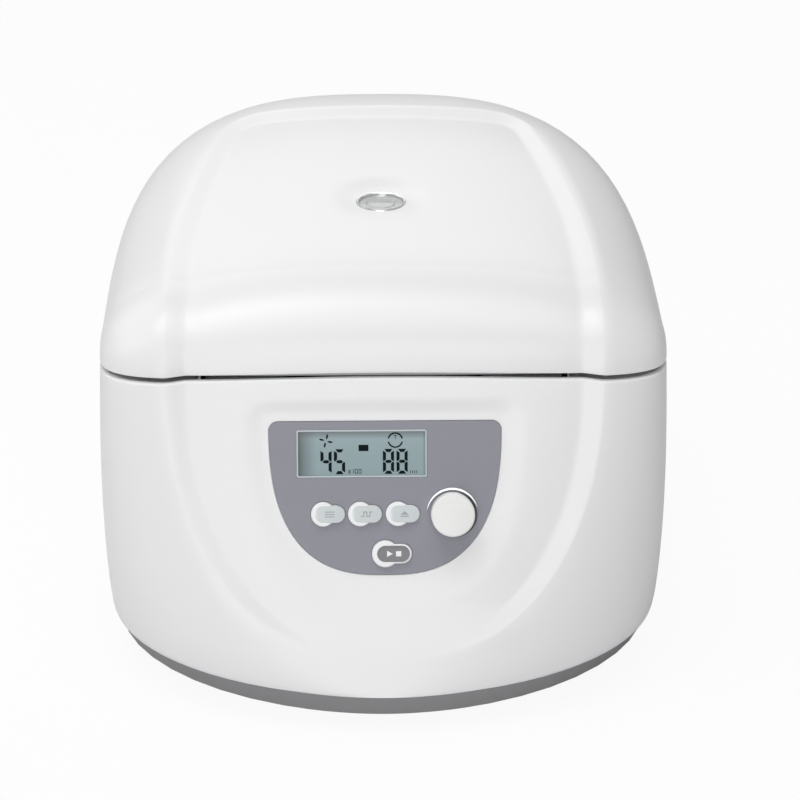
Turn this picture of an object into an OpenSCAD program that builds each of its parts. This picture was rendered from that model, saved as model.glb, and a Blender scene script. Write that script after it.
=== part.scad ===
// Bench centrifuge for two microplates: lower housing with a swing-out rotor in a round chamber,
// and a hinged lid with a sight glass. Millimetres, +X right, +Y back, +Z up, feet on z = 0,
// origin under the middle of the outline.

/* [Housing] */
// Half width of the housing at the seam
half_width = 155; // [154:0.5:157]
// How far the housing swells at mid height
side_swell = 2; // [0:0.5:3]
// Front of the housing at the seam, measured from the origin
seam_front = 133; // [132:0.5:135]
// Front of the housing at its lower edge
base_front = 200; // [196:0.5:202]
// Rear of the housing at the seam
seam_rear = 193.5; // [192:0.5:194]
// Rear of the housing at its lower edge
base_rear = 195; // [193:0.5:197]
// Height of the lower edge of the housing
housing_bottom = 21.8; // [21.8:0.1:24]
// Height of the seam between housing and lid at the centre line
seam_z = 179; // [179:0.5:181]
// How far the seam drops 120 mm to the side of the centre line
seam_drop = 3; // [2:0.5:4]
// Gap between housing and lid
seam_gap = 3; // [2:0.5:4]
// Thickness of the moulded walls
wall = 3; // [2.4:0.1:3.4]
// Depth of the recessed front panel
recess_depth = 3; // [1:0.5:3]
// Half width of the recessed panel at the seam
recess_half = 112; // [104:1:116]
// Width of the sloping step around the recessed panel
recess_band = 12; // [8:1:14]
// Lowest point of the recessed panel
recess_bottom = 40; // [36:1:48]

/* [Lid] */
// Height of the lid above the seam at its front bend
lid_front_height = 48; // [46:1:56]
// Further rise of the lid towards the rear
lid_rise = 30; // [24:1:34]
// Lean of the front face of the lid
lid_lean = 0.16; // [0.1:0.01:0.2]
// Rear end of the recessed panel on the lid
lid_recess_rear = 126; // [116:1:134]
// Distance of the sight glass from the origin along Y
sight_y = -2; // [-6:1:4]
// Radius of the sight glass bezel
sight_radius = 14.3; // [13:0.1:14.8]
// Depth of the soft dimple around the sight glass
dimple_depth = 3; // [2:0.5:4]
// Radius of the soft dimple around the sight glass
dimple_radius = 31; // [26:1:36]

/* [Control panel] */
// Half width of the control panel
panel_half = 62.2; // [60:0.2:64]
// Top edge of the control panel, measured up the slope
panel_top = 63; // [62.5:0.5:64]
// Bottom edge of the control panel, measured up the slope
panel_bottom = -19.4; // [-22:0.2:-18]
// Depth of the pocket of the control panel behind the front face
pocket_depth = 6; // [5.5:0.1:6]
// Width of the soft slope around the pocket
pocket_slope = 13; // [8:1:16]
// Thickness of the control panel
panel_thick = 2; // [1.8:0.1:2]
// Diameter of the round part of a button
button_round = 13.3; // [12:0.1:13.4]
// Width of a button from end to end
button_length = 18.4; // [17:0.1:18.6]
// Height of the oblong part of a button
button_bar = 9.5; // [8:0.1:10.5]
// Travel of a button
button_travel = 1; // [0.5:0.1:1]
// Clearance around a button in the control panel
button_clearance = 0.25; // [0.15:0.05:0.35]
// Diameter of the setting knob
knob_diameter = 23.3; // [20:0.1:24]
// Height of the setting knob above the control panel
knob_height = 11; // [8:0.5:14]

/* [Chamber and rotor] */
// Distance of the rotor axis from the origin along Y
rotor_y = 12; // [12:0.5:13]
// Inner radius of the chamber
chamber_radius = 134; // [133.5:0.1:134]
// Thickness of the chamber wall
chamber_wall = 1.5; // [1:0.1:1.5]
// Height of the chamber floor
chamber_floor = 74.5; // [73.5:0.5:75]
// Height of the pivots of the plate carriers
pivot_z = 129; // [129:0.5:129.5]
// Distance of the pivots from the rotor axis
pivot_x = 59.3; // [59:0.1:59.5]
// Length of a plate seat
plate_length = 128.8; // [128.2:0.1:128.8]
// Width of a plate seat
plate_width = 86.5; // [86:0.1:86.5]
// Wall thickness of a plate carrier
carrier_wall = 2; // [1.5:0.1:2]
// Radius of the pivot pins
pivot_radius = 4; // [3:0.1:4]
// Clearance of the carrier slots around the pivot pins
pivot_clearance = 0.1; // [0.05:0.05:0.15]
// Radius of the rotor shaft
shaft_radius = 5; // [4:0.1:6]

/* [Hinges and latch] */
// Distance of each lid hinge from the centre line
hinge_x = 66; // [65:1:68]
// Radius of the hinge knuckles
knuckle_radius = 4.5; // [4:0.1:4.5]
// Radius of the hinge pins
hinge_pin = 2; // [1.5:0.1:2.2]
// Clearance of the hinge bores around the pins
hinge_clearance = 0.05; // [0.03:0.01:0.08]
// Distance of each striker plate from the centre line
striker_x = 98; // [96:1:100]
// Travel of the latch bar
latch_travel = 6; // [5:0.5:6]

/* [Hidden] */
pole_y = -80;
gap_up = seam_gap / 2;
front_power = [1.91, 4.07];
rear_power = 3.07;
crown_power = 2.77;
lid_front_power = 2.15;
lid_rear_power = 4.15;
pan_bottom = 9;
pan_floor = 12;
pan_top = housing_bottom - 0.5;
pan_inset = 4.2;
front_rise = (base_front - seam_front) / (seam_z - housing_bottom);
front_lean = atan(front_rise);
deck_top = seam_z - 7.5;
deck_thick = 3;
flange_top = deck_top + 1.2;
liner_bottom = seam_z - 2.2;
liner_top = liner_bottom + 2.5;
bowl_outer = chamber_radius + chamber_wall;
bowl_round = 4;
bowl_low = chamber_floor - chamber_wall;
arm_left = -striker_x - 2 - latch_travel;
arm_right = striker_x - 2 - latch_travel;
service_gap = 2.153;
service_y = rear_wall(66, 59) - wall - service_gap;
hinge_y = seam_rear + 2;
hinge_z = seam_z;
plate_face = -pocket_depth + 0.5;
plate_back = plate_face - panel_thick;
board_face = plate_back - 6.5;
button_z = 13.3;
knob_x = 35.8;
screen = [-47.4, 32.9, 22.4, 58.4];
pillar_turns = [[-38.5, 15.4], [38.9, 11]];
pillar_spots = [for (p = pillar_turns, s = [-1, 1])
    [s * (bowl_outer + p[1]) * cos(p[0]), rotor_y + (bowl_outer + p[1]) * sin(p[0])]];
post_spots = [[-75, -60], [75, -60], [-75, 95], [75, 95]];
foot_spots = [[-108, -105], [108, -105], [-100, 125], [100, 125]];
damper_spots = [[-60, -24], [60, -24], [0, 82]];
motor_bottom = 33;
motor_top = 71;
carrier_floor = pivot_z - 22;
carrier_inner = 14;
white = [0.93, 0.93, 0.94];
grey = [0.45, 0.45, 0.47];
dark = [0.15, 0.15, 0.16];
steel = [0.72, 0.73, 0.75];
rubber = [0.1, 0.1, 0.1];
green = [0.1, 0.35, 0.2];

// Small helpers

function clamp01(t) = min(1, max(0, t));
function smooth(t) = let (c = clamp01(t)) c * c * (3 - 2 * c);
function mix(a, b, t) = a + (b - a) * t;
function power_sign(v, e) = sign(v) * pow(abs(v), e);
function seam_height(x) = seam_z - seam_drop * pow(x / 120, 2);

// Lower housing: every level is half a superellipse in front and half behind the line pole_y

function level(z) = (z - housing_bottom) / (seam_z - housing_bottom);
function half_at(z) = half_width + side_swell * sin(180 * clamp01(level(z)));
function front_at(z) = mix(base_front, seam_front, level(z));
function rear_at(z) = mix(base_rear, seam_rear, clamp01(level(z)));
function power_at(z) = mix(front_power[0], front_power[1], sqrt(clamp01(level(z))));
function recess_half_at(z) =
    let (s = clamp01((seam_z - z) / (seam_z - recess_bottom)))
    recess_half * pow(1 - pow(s, 2.25), 1 / 2.25);
function recess_at(x, z) =
    recess_depth * smooth((z - recess_bottom + 2) / 30)
    * clamp01((recess_half_at(z) + recess_band / 2 - abs(x)) / recess_band);
function slope_up(z) = (z - 100) / cos(front_lean) + pocket_depth * tan(front_lean);
function panel_reach(x, v) =
    let (side = pow(pow(abs(x) / panel_half, 2.65)
        + pow(max(0, (panel_top - v) / (panel_top - panel_bottom)), 2.65), 1 / 2.65),
        a = (side - 1) * panel_half, b = v - panel_top)
    norm([max(a, 0), max(b, 0)]) + min(max(a, b), 0);
function pocket_at(x, z) = 1 - smooth((panel_reach(x, slope_up(z)) - 2) / pocket_slope);
function front_skin(x, y, z, inset) =
    let (panel_plane = -front_at(z) + (pocket_depth + inset) / cos(front_lean))
    mix(y + recess_at(x, z), panel_plane, pocket_at(x, z));

// Angles of the vertex columns: the two edges of the sloping step are always met exactly
function column_angles(half, power, outer, inner, side_n, face_n) =
    let (turn = function (x) asin(pow(x / half, power / 2)))
    concat(
        [for (k = [0:side_n - 1]) mix(90, turn(outer), k / side_n)],
        [turn(outer)],
        [for (k = [0:face_n - 1]) turn(inner * (1 - k / face_n))]);
function both_sides(a) = concat(a, [0], [for (k = [len(a) - 1:-1:0]) -a[k]]);

function housing_ring(z, inset, side_n, face_n, rear_n) =
    let (half = half_at(z) - inset, power = power_at(z), depth = front_at(z) + pole_y - inset,
        rear = rear_at(z) - pole_y - inset,
        outer = max(recess_half_at(z) + recess_band / 2, 56),
        inner = max(recess_half_at(z) - recess_band / 2, 42),
        turns = both_sides(column_angles(half, power, outer, inner, side_n, face_n)))
    concat(
        [for (t = turns) let (x = half * power_sign(sin(t), 2 / power),
            y = pole_y - depth * pow(abs(cos(t)), 2 / power))
            [x, front_skin(x, y, z, inset), z]],
        [for (k = [1:rear_n - 1]) let (t = -90 + 180 * k / rear_n)
            [half * power_sign(sin(t), 2 / rear_power), pole_y + rear * pow(abs(cos(t)), 2 / rear_power), z]]);

module loft(rings) {
    cols = len(rings[0]);
    rows = len(rings);
    points = [for (r = rings) for (q = r) q];
    sides = [for (i = [0:rows - 2]) for (j = [0:cols - 1])
        let (k = (j + 1) % cols, a = i * cols, b = a + cols)
        for (f = [[a + j, b + k, b + j], [a + j, a + k, b + k]]) f];
    bottom = [for (j = [cols - 1:-1:0]) j];
    top = [for (j = [0:cols - 1]) (rows - 1) * cols + j];
    polyhedron(points, concat(sides, [bottom, top]));
}

module housing_solid(inset, low, high, rows, side_n, face_n, rear_n) {
    loft([for (i = [0:rows]) housing_ring(mix(low, high, i / rows), inset, side_n, face_n, rear_n)]);
}

function outline(z, inset) = [for (q = housing_ring(z, inset, 6, 8, 22)) [q[0], q[1]]];

// Lid: sections fan out from front to rear about the line pole_y, each one a half superellipse

function fan_power(turn) = cos(turn) > 0 ? lid_front_power : lid_rear_power;
function fan_reach(turn, inset) =
    (cos(turn) > 0 ? -(seam_front + pole_y - inset) : seam_rear - pole_y - inset)
    * pow(abs(cos(turn)), 2 / fan_power(turn));
function fan_height(turn, inset, base) =
    (lid_front_height - inset - base
        + lid_rise * fan_reach(turn, inset) / (seam_rear - pole_y - inset))
    * pow(abs(sin(turn)), 2 / fan_power(turn));
function cross_power(turn) =
    mix(cos(turn) > 0 ? front_power[1] : rear_power, crown_power, pow(sin(turn), 2));
function loop_half(y) = recess_half + recess_band / 2 - 21 * pow(max(0, (y + 60) / 171), 1.9);
function loop_depth(x, y, half) =
    let (r = 22, a = abs(x) - half + r, b = y - lid_recess_rear + r,
        away = norm([max(a, 0), max(b, 0)]) - r + min(max(a, b), 0))
    recess_depth * clamp01(-away / recess_band);
function dimple(x, y) =
    dimple_depth * (1 - smooth((norm([x, y - sight_y]) - sight_radius - 1)
        / (dimple_radius - sight_radius - 1)));

function lid_point(turn, across, inset, base) =
    let (n = cross_power(turn), k = pow(abs(cos(across)), 2 / n),
        x = (half_width - inset) * power_sign(sin(across), 2 / n),
        reach = fan_reach(turn, inset), rise = fan_height(turn, inset, base),
        y = pole_y + reach * k + lid_lean * rise * k * sqrt(max(0, cos(turn))),
        z = seam_height(x) + base + rise * k,
        m = 2 - 2 / fan_power(turn),
        ny = pow(abs(cos(turn)), m) * (lid_front_height - inset - base),
        nz = pow(abs(sin(turn)), m) * (seam_front + pole_y - inset),
        long = norm([ny, nz]),
        deep = loop_depth(x, y, loop_half(pole_y + reach)))
    [x, y + deep * (cos(turn) > 0 ? ny / long : 0),
        z - deep * (cos(turn) > 0 ? nz / long : 1) - (turn > 60 ? dimple(x, y) : 0)];

module lid_solid(inset, base, turns, side_n, face_n) {
    sections = [for (t = turns)
        let (half = half_width - inset, outer = loop_half(pole_y + fan_reach(t, inset)),
            angles = both_sides(column_angles(half, cross_power(t), outer,
                outer - recess_band, side_n, face_n)),
            last = len(angles) - 1)
        [for (i = [1:last - 1]) lid_point(t, angles[i], inset, base)]];
    cols = len(sections[0]);
    rows = len(sections);
    right = rows * cols;
    points = concat([for (s = sections) for (q = s) q],
        [lid_point(0, 90, inset, base), lid_point(0, -90, inset, base)]);
    skin = [for (i = [0:rows - 1]) let (a = i * cols, b = ((i + 1) % rows) * cols)
        for (f = concat(
            [[a, b, right], [a + cols - 1, right + 1, b + cols - 1]],
            [for (j = [0:cols - 2]) [a + j, b + j + 1, b + j]],
            [for (j = [0:cols - 2]) [a + j, a + j + 1, b + j + 1]])) f];
    polyhedron(points, skin);
}

function lid_turn(y) = 180 - acos(pow((y - pole_y) / (seam_rear - pole_y), lid_rear_power / 2));
function lid_top(y) = seam_z + gap_up + fan_height(lid_turn(y), 0, gap_up);
sight_lean = atan((lid_top(sight_y + 10) - lid_top(sight_y - 10)) / 20);

module on_sight() {
    translate([0, sight_y, lid_top(sight_y) - dimple_depth])
        rotate([sight_lean, 0, 0])
            children();
}

module on_panel(x = 0, v = 0, w = 0) {
    translate([0, -front_at(100), 100])
        rotate([90 - front_lean, 0, 0])
            translate([x, v, w])
                children();
}

// Shapes used more than once

module cyl(r, h, z = 0) { translate([0, 0, z]) cylinder(r = r, h = h); }

module ring(outer, inner, h, z = 0) {
    translate([0, 0, z])
        difference() {
            cylinder(r = outer, h = h);
            cyl(inner, h + 2, -1);
        }
}

module block(low, high) { translate(low) cube(high - low); }

module plate(low, high, r) {
    translate([low[0] + r, low[1] + r])
        union() {
            translate([0, -r]) square([high[0] - low[0] - 2 * r, high[1] - low[1]]);
            translate([-r, 0]) square([high[0] - low[0], high[1] - low[1] - 2 * r]);
            for (x = [0, high[0] - low[0] - 2 * r], y = [0, high[1] - low[1] - 2 * r])
                translate([x, y]) circle(r = r);
        }
}

module screw(head_r, head_h, shank_r, length) {
    difference() {
        cylinder(r = head_r, h = head_h);
        translate([0, 0, head_h - 1.2]) cylinder(r = head_r * 0.5, h = 3, $fn = 6);
    }
    cyl(shank_r, length, -length);
}

// Base pan with four rubber feet

module base_pan() {
    color(grey)
        difference() {
            loft([pan_ring(pan_bottom, pan_inset), pan_ring(pan_top, 0.8)]);
            loft([pan_ring(pan_floor, pan_inset + wall), pan_ring(pan_top + 1, wall + 1)]);
            for (p = foot_spots) translate(p) cyl(2.1, 20, 0);
            for (x = [-40:16:40]) block([x - 3, -60, 0], [x + 3, -20, 20]);
        }
}
function pan_ring(z, inset) =
    [for (q = housing_ring(housing_bottom, inset, 9, 13, 20)) [q[0], q[1], z]];

module feet() {
    color(rubber)
        for (p = foot_spots)
            translate(p)
                difference() {
                    cylinder(r1 = 11.5, r2 = 13, h = pan_bottom);
                    cyl(4.2, 4, -1);
                    cyl(2.1, 20, -1);
                }
}

module base_screws() {
    color(steel)
        for (p = foot_spots)
            translate([p[0], p[1], 3])
                union() {
                    cyl(2, 15);
                    translate([0, 0, -2]) cylinder(r = 4, h = 2);
                    translate([0, 0, pan_floor - 3]) cylinder(r = 4, h = 3, $fn = 6);
                }
}

// Lower housing: one moulded shell with the recessed front, the pocket and the vents

module lower_housing() {
    color(white)
        resize([2 * (half_width + side_swell), 0, 0])
            difference() {
                housing_solid(0, housing_bottom, seam_z + 3, 21, 9, 13, 20);
                housing_solid(wall, housing_bottom - 6, seam_z + 6, 12, 6, 9, 16);
                arch_block();
                on_panel(0, 0, plate_back - 0.15) linear_extrude(20) panel_shape(0.3);
                on_panel(0, 0, -20) linear_extrude(40) panel_shape(-2.5);
                block([-58, 150, 34], [58, 220, 84]);
                for (x = [-48:12:48]) block([x - 2, 150, 100], [x + 2, 220, 132]);
                for (z = [84:11:139]) block([-170, -74, z], [170, 6, z + 4.5]);
            }
}

module arch_block() {
    steps = [for (x = [-170:10:170]) [x, seam_height(x) - gap_up]];
    translate([0, 250, 0])
        rotate([90, 0, 0])
            linear_extrude(500)
                polygon(concat(steps, [[170, seam_z + 40], [-170, seam_z + 40]]));
}

module panel_shape(grow) {
    w = panel_half + grow;
    h = panel_top - panel_bottom + 2 * grow;
    r = 5 + max(0, grow);
    n = 2.65;
    arc = [for (t = [-90:5:90]) if (abs(t) < 90)
        [w * power_sign(sin(t), 2 / n), panel_top + grow - h * pow(cos(t), 2 / n)]];
    intersection() {
        polygon(concat([[-w, panel_top + grow]], arc, [[w, panel_top + grow]]));
        plate([-w, panel_bottom - 20], [w, panel_top + grow], r);
    }
}

module deck() {
    color(white)
        difference() {
            translate([0, 0, deck_top - deck_thick])
                linear_extrude(deck_thick)
                    difference() {
                        polygon(outline(deck_top - deck_thick, wall + 1.6));
                        translate([0, rotor_y]) circle(r = bowl_outer + 0.2);
                        for (s = [-1, 1]) translate([s * striker_x - 3, -120]) square([6, 22]);
                    }
        }
}

module deck_pillars() {
    color(steel)
        for (p = pillar_spots)
            translate(p) cyl(5, deck_top - deck_thick - pan_floor, pan_floor);
}

// Chamber, gasket and drive

module chamber_base() {
    r = bowl_round;
    color(steel)
        translate([0, rotor_y])
            rotate_extrude()
                union() {
                    translate([12, bowl_low]) square([bowl_outer - r - 12, chamber_wall]);
                    intersection() {
                        difference() {
                            translate([bowl_outer - r, bowl_low + r]) circle(r = r, $fn = 64);
                            translate([bowl_outer - r, bowl_low + r]) circle(r = r - chamber_wall, $fn = 64);
                        }
                        translate([bowl_outer - r - 0.1, bowl_low - 1]) square([r + 1, r + 1]);
                    }
                }
}

module chamber_bowl() {
    foot = bowl_low + bowl_round + 0.1;
    color(steel)
        translate([0, rotor_y])
            rotate_extrude()
                union() {
                    translate([chamber_radius, foot]) square([chamber_wall, flange_top - foot]);
                    translate([chamber_radius, deck_top]) square([chamber_wall + 3.5, flange_top - deck_top]);
                }
}

module chamber_gasket() {
    low = flange_top;
    color(rubber)
        translate([0, rotor_y])
            rotate_extrude()
                polygon([[chamber_radius + 0.6, low], [bowl_outer + 2.4, low], [bowl_outer + 2.4, low + 1.4],
                    [bowl_outer + 1.4, liner_bottom - 0.3], [bowl_outer + 0.2, liner_bottom - 0.3],
                    [chamber_radius + 0.6, low + 1.4]]);
}

module motor_plate() {
    color(steel)
        translate([0, rotor_y, motor_bottom - 3])
            difference() {
                cylinder(r = 80, h = 3);
                for (a = [30:120:270]) rotate(a) translate([58, 0]) cyl(9, 5, -1);
                for (a = [0:90:270]) rotate(a + 45) translate([30, 0]) cyl(2.2, 5, -1);
                for (p = damper_spots) translate([p[0], p[1] - rotor_y]) cyl(2.6, 5, -1);
            }
}

module motor_dampers() {
    color(rubber)
        for (p = damper_spots)
            translate(p)
                union() {
                    cyl(10, 5, pan_floor);
                    cyl(7.5, motor_bottom - 3 - pan_floor - 10, pan_floor + 5);
                    cyl(10, 5, motor_bottom - 8);
                    cyl(2.5, 5, motor_bottom - 3);
                }
}

module motor() {
    color(dark)
        translate([0, rotor_y])
            difference() {
                union() {
                    cyl(42, motor_top - motor_bottom - 6, motor_bottom);
                    cyl(36, 6, motor_top - 6);
                    for (a = [0:15:345]) rotate(a) translate([41, -1, motor_bottom + 4]) cube([3, 2, 24]);
                }
                cyl(shaft_radius + 0.05, 100, motor_bottom + 4);
                for (a = [0:90:270]) rotate(a + 45) translate([30, 0]) cyl(2.2, 10, motor_bottom - 1);
            }
}

module main_board() {
    color(green) block([-80, 98, 20], [80, 150, 21.6]);
    color(dark) block([-70, 104, 21.6], [-22, 144, 58]);
    color(steel)
        for (x = [-6, 14, 34]) translate([x, 114, 21.6]) cylinder(r = 8, h = 30);
    color(dark) block([52, 104, 21.6], [56, 144, 50]);
    color(steel) for (y = [106:7:141]) block([56, y, 21.6], [74, y + 2, 50]);
    color(steel)
        for (x = [-76, 76], y = [101, 147]) translate([x, y, pan_floor]) cyl(2.4, 8);
}

// Rotor: shaft, yoke with two pairs of pivots, nut and two swinging plate carriers

module rotor_shaft() {
    color(steel)
        translate([0, rotor_y])
            union() {
                cyl(shaft_radius, 105, motor_bottom + 6);
                cyl(shaft_radius + 4, 4, 88);
            }
}

module rotor_yoke() {
    rail = plate_length / 2 + carrier_wall + 2.6;
    color(steel)
        translate([0, rotor_y])
            difference() {
                union() {
                    cyl(12.5, pivot_z + 6 - 92, 92);
                    block([-11, -rail - 5, pivot_z - 12], [11, rail + 5, pivot_z - 2]);
                    for (s = [-1, 1]) block([-66, s * (rail + 2.5) - 2.5, pivot_z - 12],
                        [66, s * (rail + 2.5) + 2.5, pivot_z + 7]);
                    for (x = [-pivot_x, pivot_x], s = [-1, 1])
                        translate([x, s * (rail + 1), pivot_z])
                            rotate([s * 90, 0, 0])
                                cylinder(r = pivot_radius, h = 3.4);
                }
                cyl(shaft_radius + 0.05, 200, 60);
                for (s = [-1, 1], x = [-34, 34])
                    translate([x, s * (rail + 2.5) - 5, pivot_z - 3]) rotate([-90, 0, 0]) cylinder(r = 5, h = 10);
            }
}

module rotor_nut() {
    color(dark)
        translate([0, rotor_y, pivot_z + 6])
            difference() {
                union() {
                    cylinder(r = 11.8, h = 9);
                    for (a = [0:30:330]) rotate(a) translate([11, -1.5, 0]) cube([1.6, 3, 7]);
                }
                cyl(shaft_radius + 0.05, 20, -1);
            }
}

module carrier(s) {
    inner = carrier_inner;
    outer = inner + plate_width + 2 * carrier_wall;
    half = plate_length / 2 + carrier_wall;
    rim = pivot_z - 10;
    slot = pivot_radius + pivot_clearance;
    color(steel)
        translate([0, rotor_y])
            difference() {
                union() {
                    block_x(s, inner, outer, -half, half, carrier_floor - 2, rim);
                    for (e = [-1, 1]) {
                        block_x(s, pivot_x - 12, pivot_x + 12, e * (half - 1) - 1, e * (half - 1) + 1,
                            rim - 1, pivot_z + 8);
                        block_x(s, pivot_x - 10, pivot_x + 10, e * (half + 1) - 1, e * (half + 1) + 1,
                            pivot_z - 8, pivot_z + 8);
                    }
                }
                block_x(s, inner + carrier_wall, outer - carrier_wall,
                    -plate_length / 2, plate_length / 2, carrier_floor, pivot_z + 20);
                for (x = [inner + 14, outer - 36]) for (y = [-44, 4])
                    block_x(s, x, x + 22, y, y + 40, 0, carrier_floor + 1);
                for (e = [-1, 1]) {
                    translate([s * pivot_x, e * (half + 1.1) - 1.1, pivot_z])
                        rotate([-90, 0, 0]) cylinder(r = slot, h = 2.2);
                    block_x(s, pivot_x - slot, pivot_x + slot, e * (half + 1.1) - 1.1,
                        e * (half + 1.1) + 1.1, pivot_z - 9, pivot_z);
                }
            }
}
module block_x(s, x0, x1, y0, y1, z0, z1) {
    block([s > 0 ? x0 : -x1, y0, z0], [s > 0 ? x1 : -x0, y1, z1]);
}
module carrier_a() { carrier(1); }
module carrier_b() { carrier(-1); }

// Lid: shell, liner with viewing tube, sight glass and strikers

module lid_shell() {
    turns = [0, 8, 16, 24, 32, 40, 48, 56, 64, 73, 82, 90, 93, 96, 99, 102, 105, 108, 111, 114, 117,
        120, 123, 126, 129, 132, 136, 141, 147, 153, 159, 165, 170, 175, 180];
    inner_turns = [0, 12, 24, 36, 48, 60, 75, 90, 96, 102, 108, 114, 120, 126, 132, 141, 153, 165, 180];
    color(white)
        resize([2 * half_width, 0, 0])
            difference() {
                lid_solid(0, gap_up, turns, 6, 13);
                difference() {
                    lid_solid(wall, -5, inner_turns, 7, 9);
                    for (p = post_spots) translate(p) cyl(5, 100, liner_top + 0.1, $fn = 24);
                }
                for (p = post_spots) translate(p) cyl(1.75, 14, liner_bottom, $fn = 24);
                on_sight() cylinder(r = sight_radius + 0.15, h = 40, center = true, $fn = 64);
            }
}

module lid_liner() {
    color(white)
        difference() {
            union() {
                difference() {
                    translate([0, 0, liner_bottom]) linear_extrude(5.5) polygon(outline(seam_z, wall + 5));
                    translate([0, 0, liner_top]) linear_extrude(9) polygon(outline(seam_z, wall + 7));
                }
                translate([0, 0, liner_bottom])
                    linear_extrude(liner_top - liner_bottom) polygon(outline(seam_z, wall + 2.6));
                difference() {
                    translate([0, sight_y]) cyl(sight_radius + 1, 80, liner_bottom + 1);
                    on_sight() block([-40, -40, -wall - 4], [40, 40, 80]);
                }
            }
            translate([0, sight_y]) cyl(sight_radius - 0.8, 100, liner_bottom - 1);
            for (p = post_spots) translate(p) cyl(1.7, 10, liner_bottom - 1);
        }
}

module liner_screws() {
    color(steel)
        for (p = post_spots)
            translate([p[0], p[1], liner_bottom]) mirror([0, 0, 1]) screw(3.2, 1.8, 1.6, 12);
}

module sight_bezel() {
    color(steel)
        on_sight()
            rotate_extrude()
                polygon([[sight_radius - 2.2, -4], [sight_radius, -4], [sight_radius, 0.2],
                    [sight_radius + 0.9, 0.3], [sight_radius + 0.6, 1], [sight_radius - 1.2, 1.1],
                    [sight_radius - 2.2, 0]]);
}

module sight_glass() {
    color([0.8, 0.85, 0.87, 0.5])
        on_sight() cyl(sight_radius - 2.3, 4.4, -4.4);
}

module strikers() {
    color(steel)
        for (s = [-1, 1])
            translate([s * striker_x, 0])
                difference() {
                    union() {
                        block([-1, -115, liner_bottom - 19.8], [1, -101, liner_bottom]);
                        block([-6, -115, liner_bottom - 1.5], [6, -101, liner_bottom]);
                    }
                    block([-2, -112, 159.5], [2, -104, 167]);
                }
}

// Hinges on the rear wall

module on_hinge(s) { translate([s * hinge_x, hinge_y, hinge_z]) children(); }

function rear_wall(x, z) =
    pole_y + (rear_at(z) - pole_y) * pow(1 - pow(abs(x) / half_at(z), rear_power), 1 / rear_power);

module hinge_block(s, low, high, gap, outer) {
    x0 = s * hinge_x - low[0];
    x1 = s * hinge_x + low[0];
    points = [for (x = [x0:(x1 - x0) / 6:x1 + 0.01]) [x, rear_wall(x, low[1]) + gap]];
    translate([0, 0, low[1]])
        linear_extrude(high - low[1])
            polygon(concat(points, [[x1, outer], [x0, outer]]));
}

module knuckle(x, length) {
    translate([x, 0, 0]) rotate([0, 90, 0]) cylinder(r = knuckle_radius, h = length);
}

module hinge_bases() {
    color(white)
        for (s = [-1, 1])
            difference() {
                union() {
                    hinge_block(s, [16, hinge_z - 42], hinge_z - 10, 0.3, hinge_y - 1.5);
                    for (x = [-16, 8])
                        on_hinge(s) {
                            knuckle(x, 8);
                            block([x, -3, -10.5], [x + 8, 3, 0]);
                        }
                }
                on_hinge(s) translate([-30, 0, 0]) rotate([0, 90, 0]) cylinder(r = hinge_pin + hinge_clearance, h = 60);
            }
}

module hinge_arms() {
    color(white)
        for (s = [-1, 1])
            difference() {
                union() {
                    hinge_block(s, [7.2, hinge_z + 1.2], hinge_z + 16, 0.5, hinge_y + 1);
                    on_hinge(s) knuckle(-7.6, 15.2);
                }
                on_hinge(s) translate([-30, 0, 0]) rotate([0, 90, 0]) cylinder(r = hinge_pin + hinge_clearance, h = 60);
            }
}

module hinge_pins() {
    color(steel)
        for (s = [-1, 1])
            on_hinge(s) translate([-16, 0, 0]) rotate([0, 90, 0]) cylinder(r = hinge_pin, h = 32);
}

// Latch: a sliding bar with two hooks, its drive and its guides

module latch_bar() {
    color(steel)
        union() {
            block([arm_left - 4, -129.2, 160.5], [arm_right, -126.7, 165.5]);
            for (x = [arm_left, arm_right]) block([x - 4, -129.2, 160.5], [x, -106, 165.5]);
            block([arm_left - 1, -110, 161], [-striker_x - 1.8, -106, 165]);
            block([arm_right - 1, -110, 161], [striker_x - 1.8, -106, 165]);
            translate([arm_right - 1, -117, 163]) rotate([0, 90, 0]) cylinder(r = 1.6, h = 15);
        }
}

module latch_drive() {
    color(dark)
        difference() {
            block([106, -125, 150], [124, -109, deck_top - deck_thick]);
            translate([100, -117, 163]) rotate([0, 90, 0]) cylinder(r = 1.65, h = 20);
        }
}

module latch_guides() {
    color(dark)
        for (x = [-64, 58])
            difference() {
                block([x, -130.3, 157], [x + 6, -124.5, deck_top - deck_thick]);
                block([x - 1, -129.35, 160.35], [x + 7, -126.55, 165.65]);
            }
}

// Control panel

module button_shape(grow) {
    circle(r = button_round / 2 + grow);
    translate([button_length - button_round / 2 - button_bar / 2, 0]) circle(r = button_bar / 2 + grow);
    translate([0, -button_bar / 2 - grow])
        square([button_length - button_round / 2 - button_bar / 2, button_bar + 2 * grow]);
}

module start_shape(grow) {
    circle(r = 7.3 + grow);
    translate([9, 0]) circle(r = 5.3 + grow);
    translate([0, -5.3 - grow]) square([9, 10.6 + 2 * grow]);
}

button_spots = [-33.3, -13.5, 6.7];
start_spot = [-0.2, -8.1];

module control_plate() {
    color(grey)
        difference() {
            union() {
                on_panel(0, 0, plate_back) linear_extrude(panel_thick) panel_shape(0);
                for (p = [[-53, 46], [53, 46], [-41, 0], [41, 0]])
                    on_panel(p[0], p[1], board_face) cyl(2.4, plate_back - board_face + 0.5);
            }
            on_panel(0, 0, -20) linear_extrude(30)
                plate([screen[0] - 0.1, screen[1] - 0.1], [screen[2] + 0.1, screen[3] + 0.1], 1.2);
            for (x = button_spots) on_panel(x, button_z, -20) linear_extrude(30) button_shape(button_clearance);
            on_panel(start_spot[0], start_spot[1], -20) linear_extrude(30) start_shape(button_clearance);
            on_panel(knob_x, button_z, -20) cylinder(r = 3.6, h = 30);
        }
}

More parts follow.
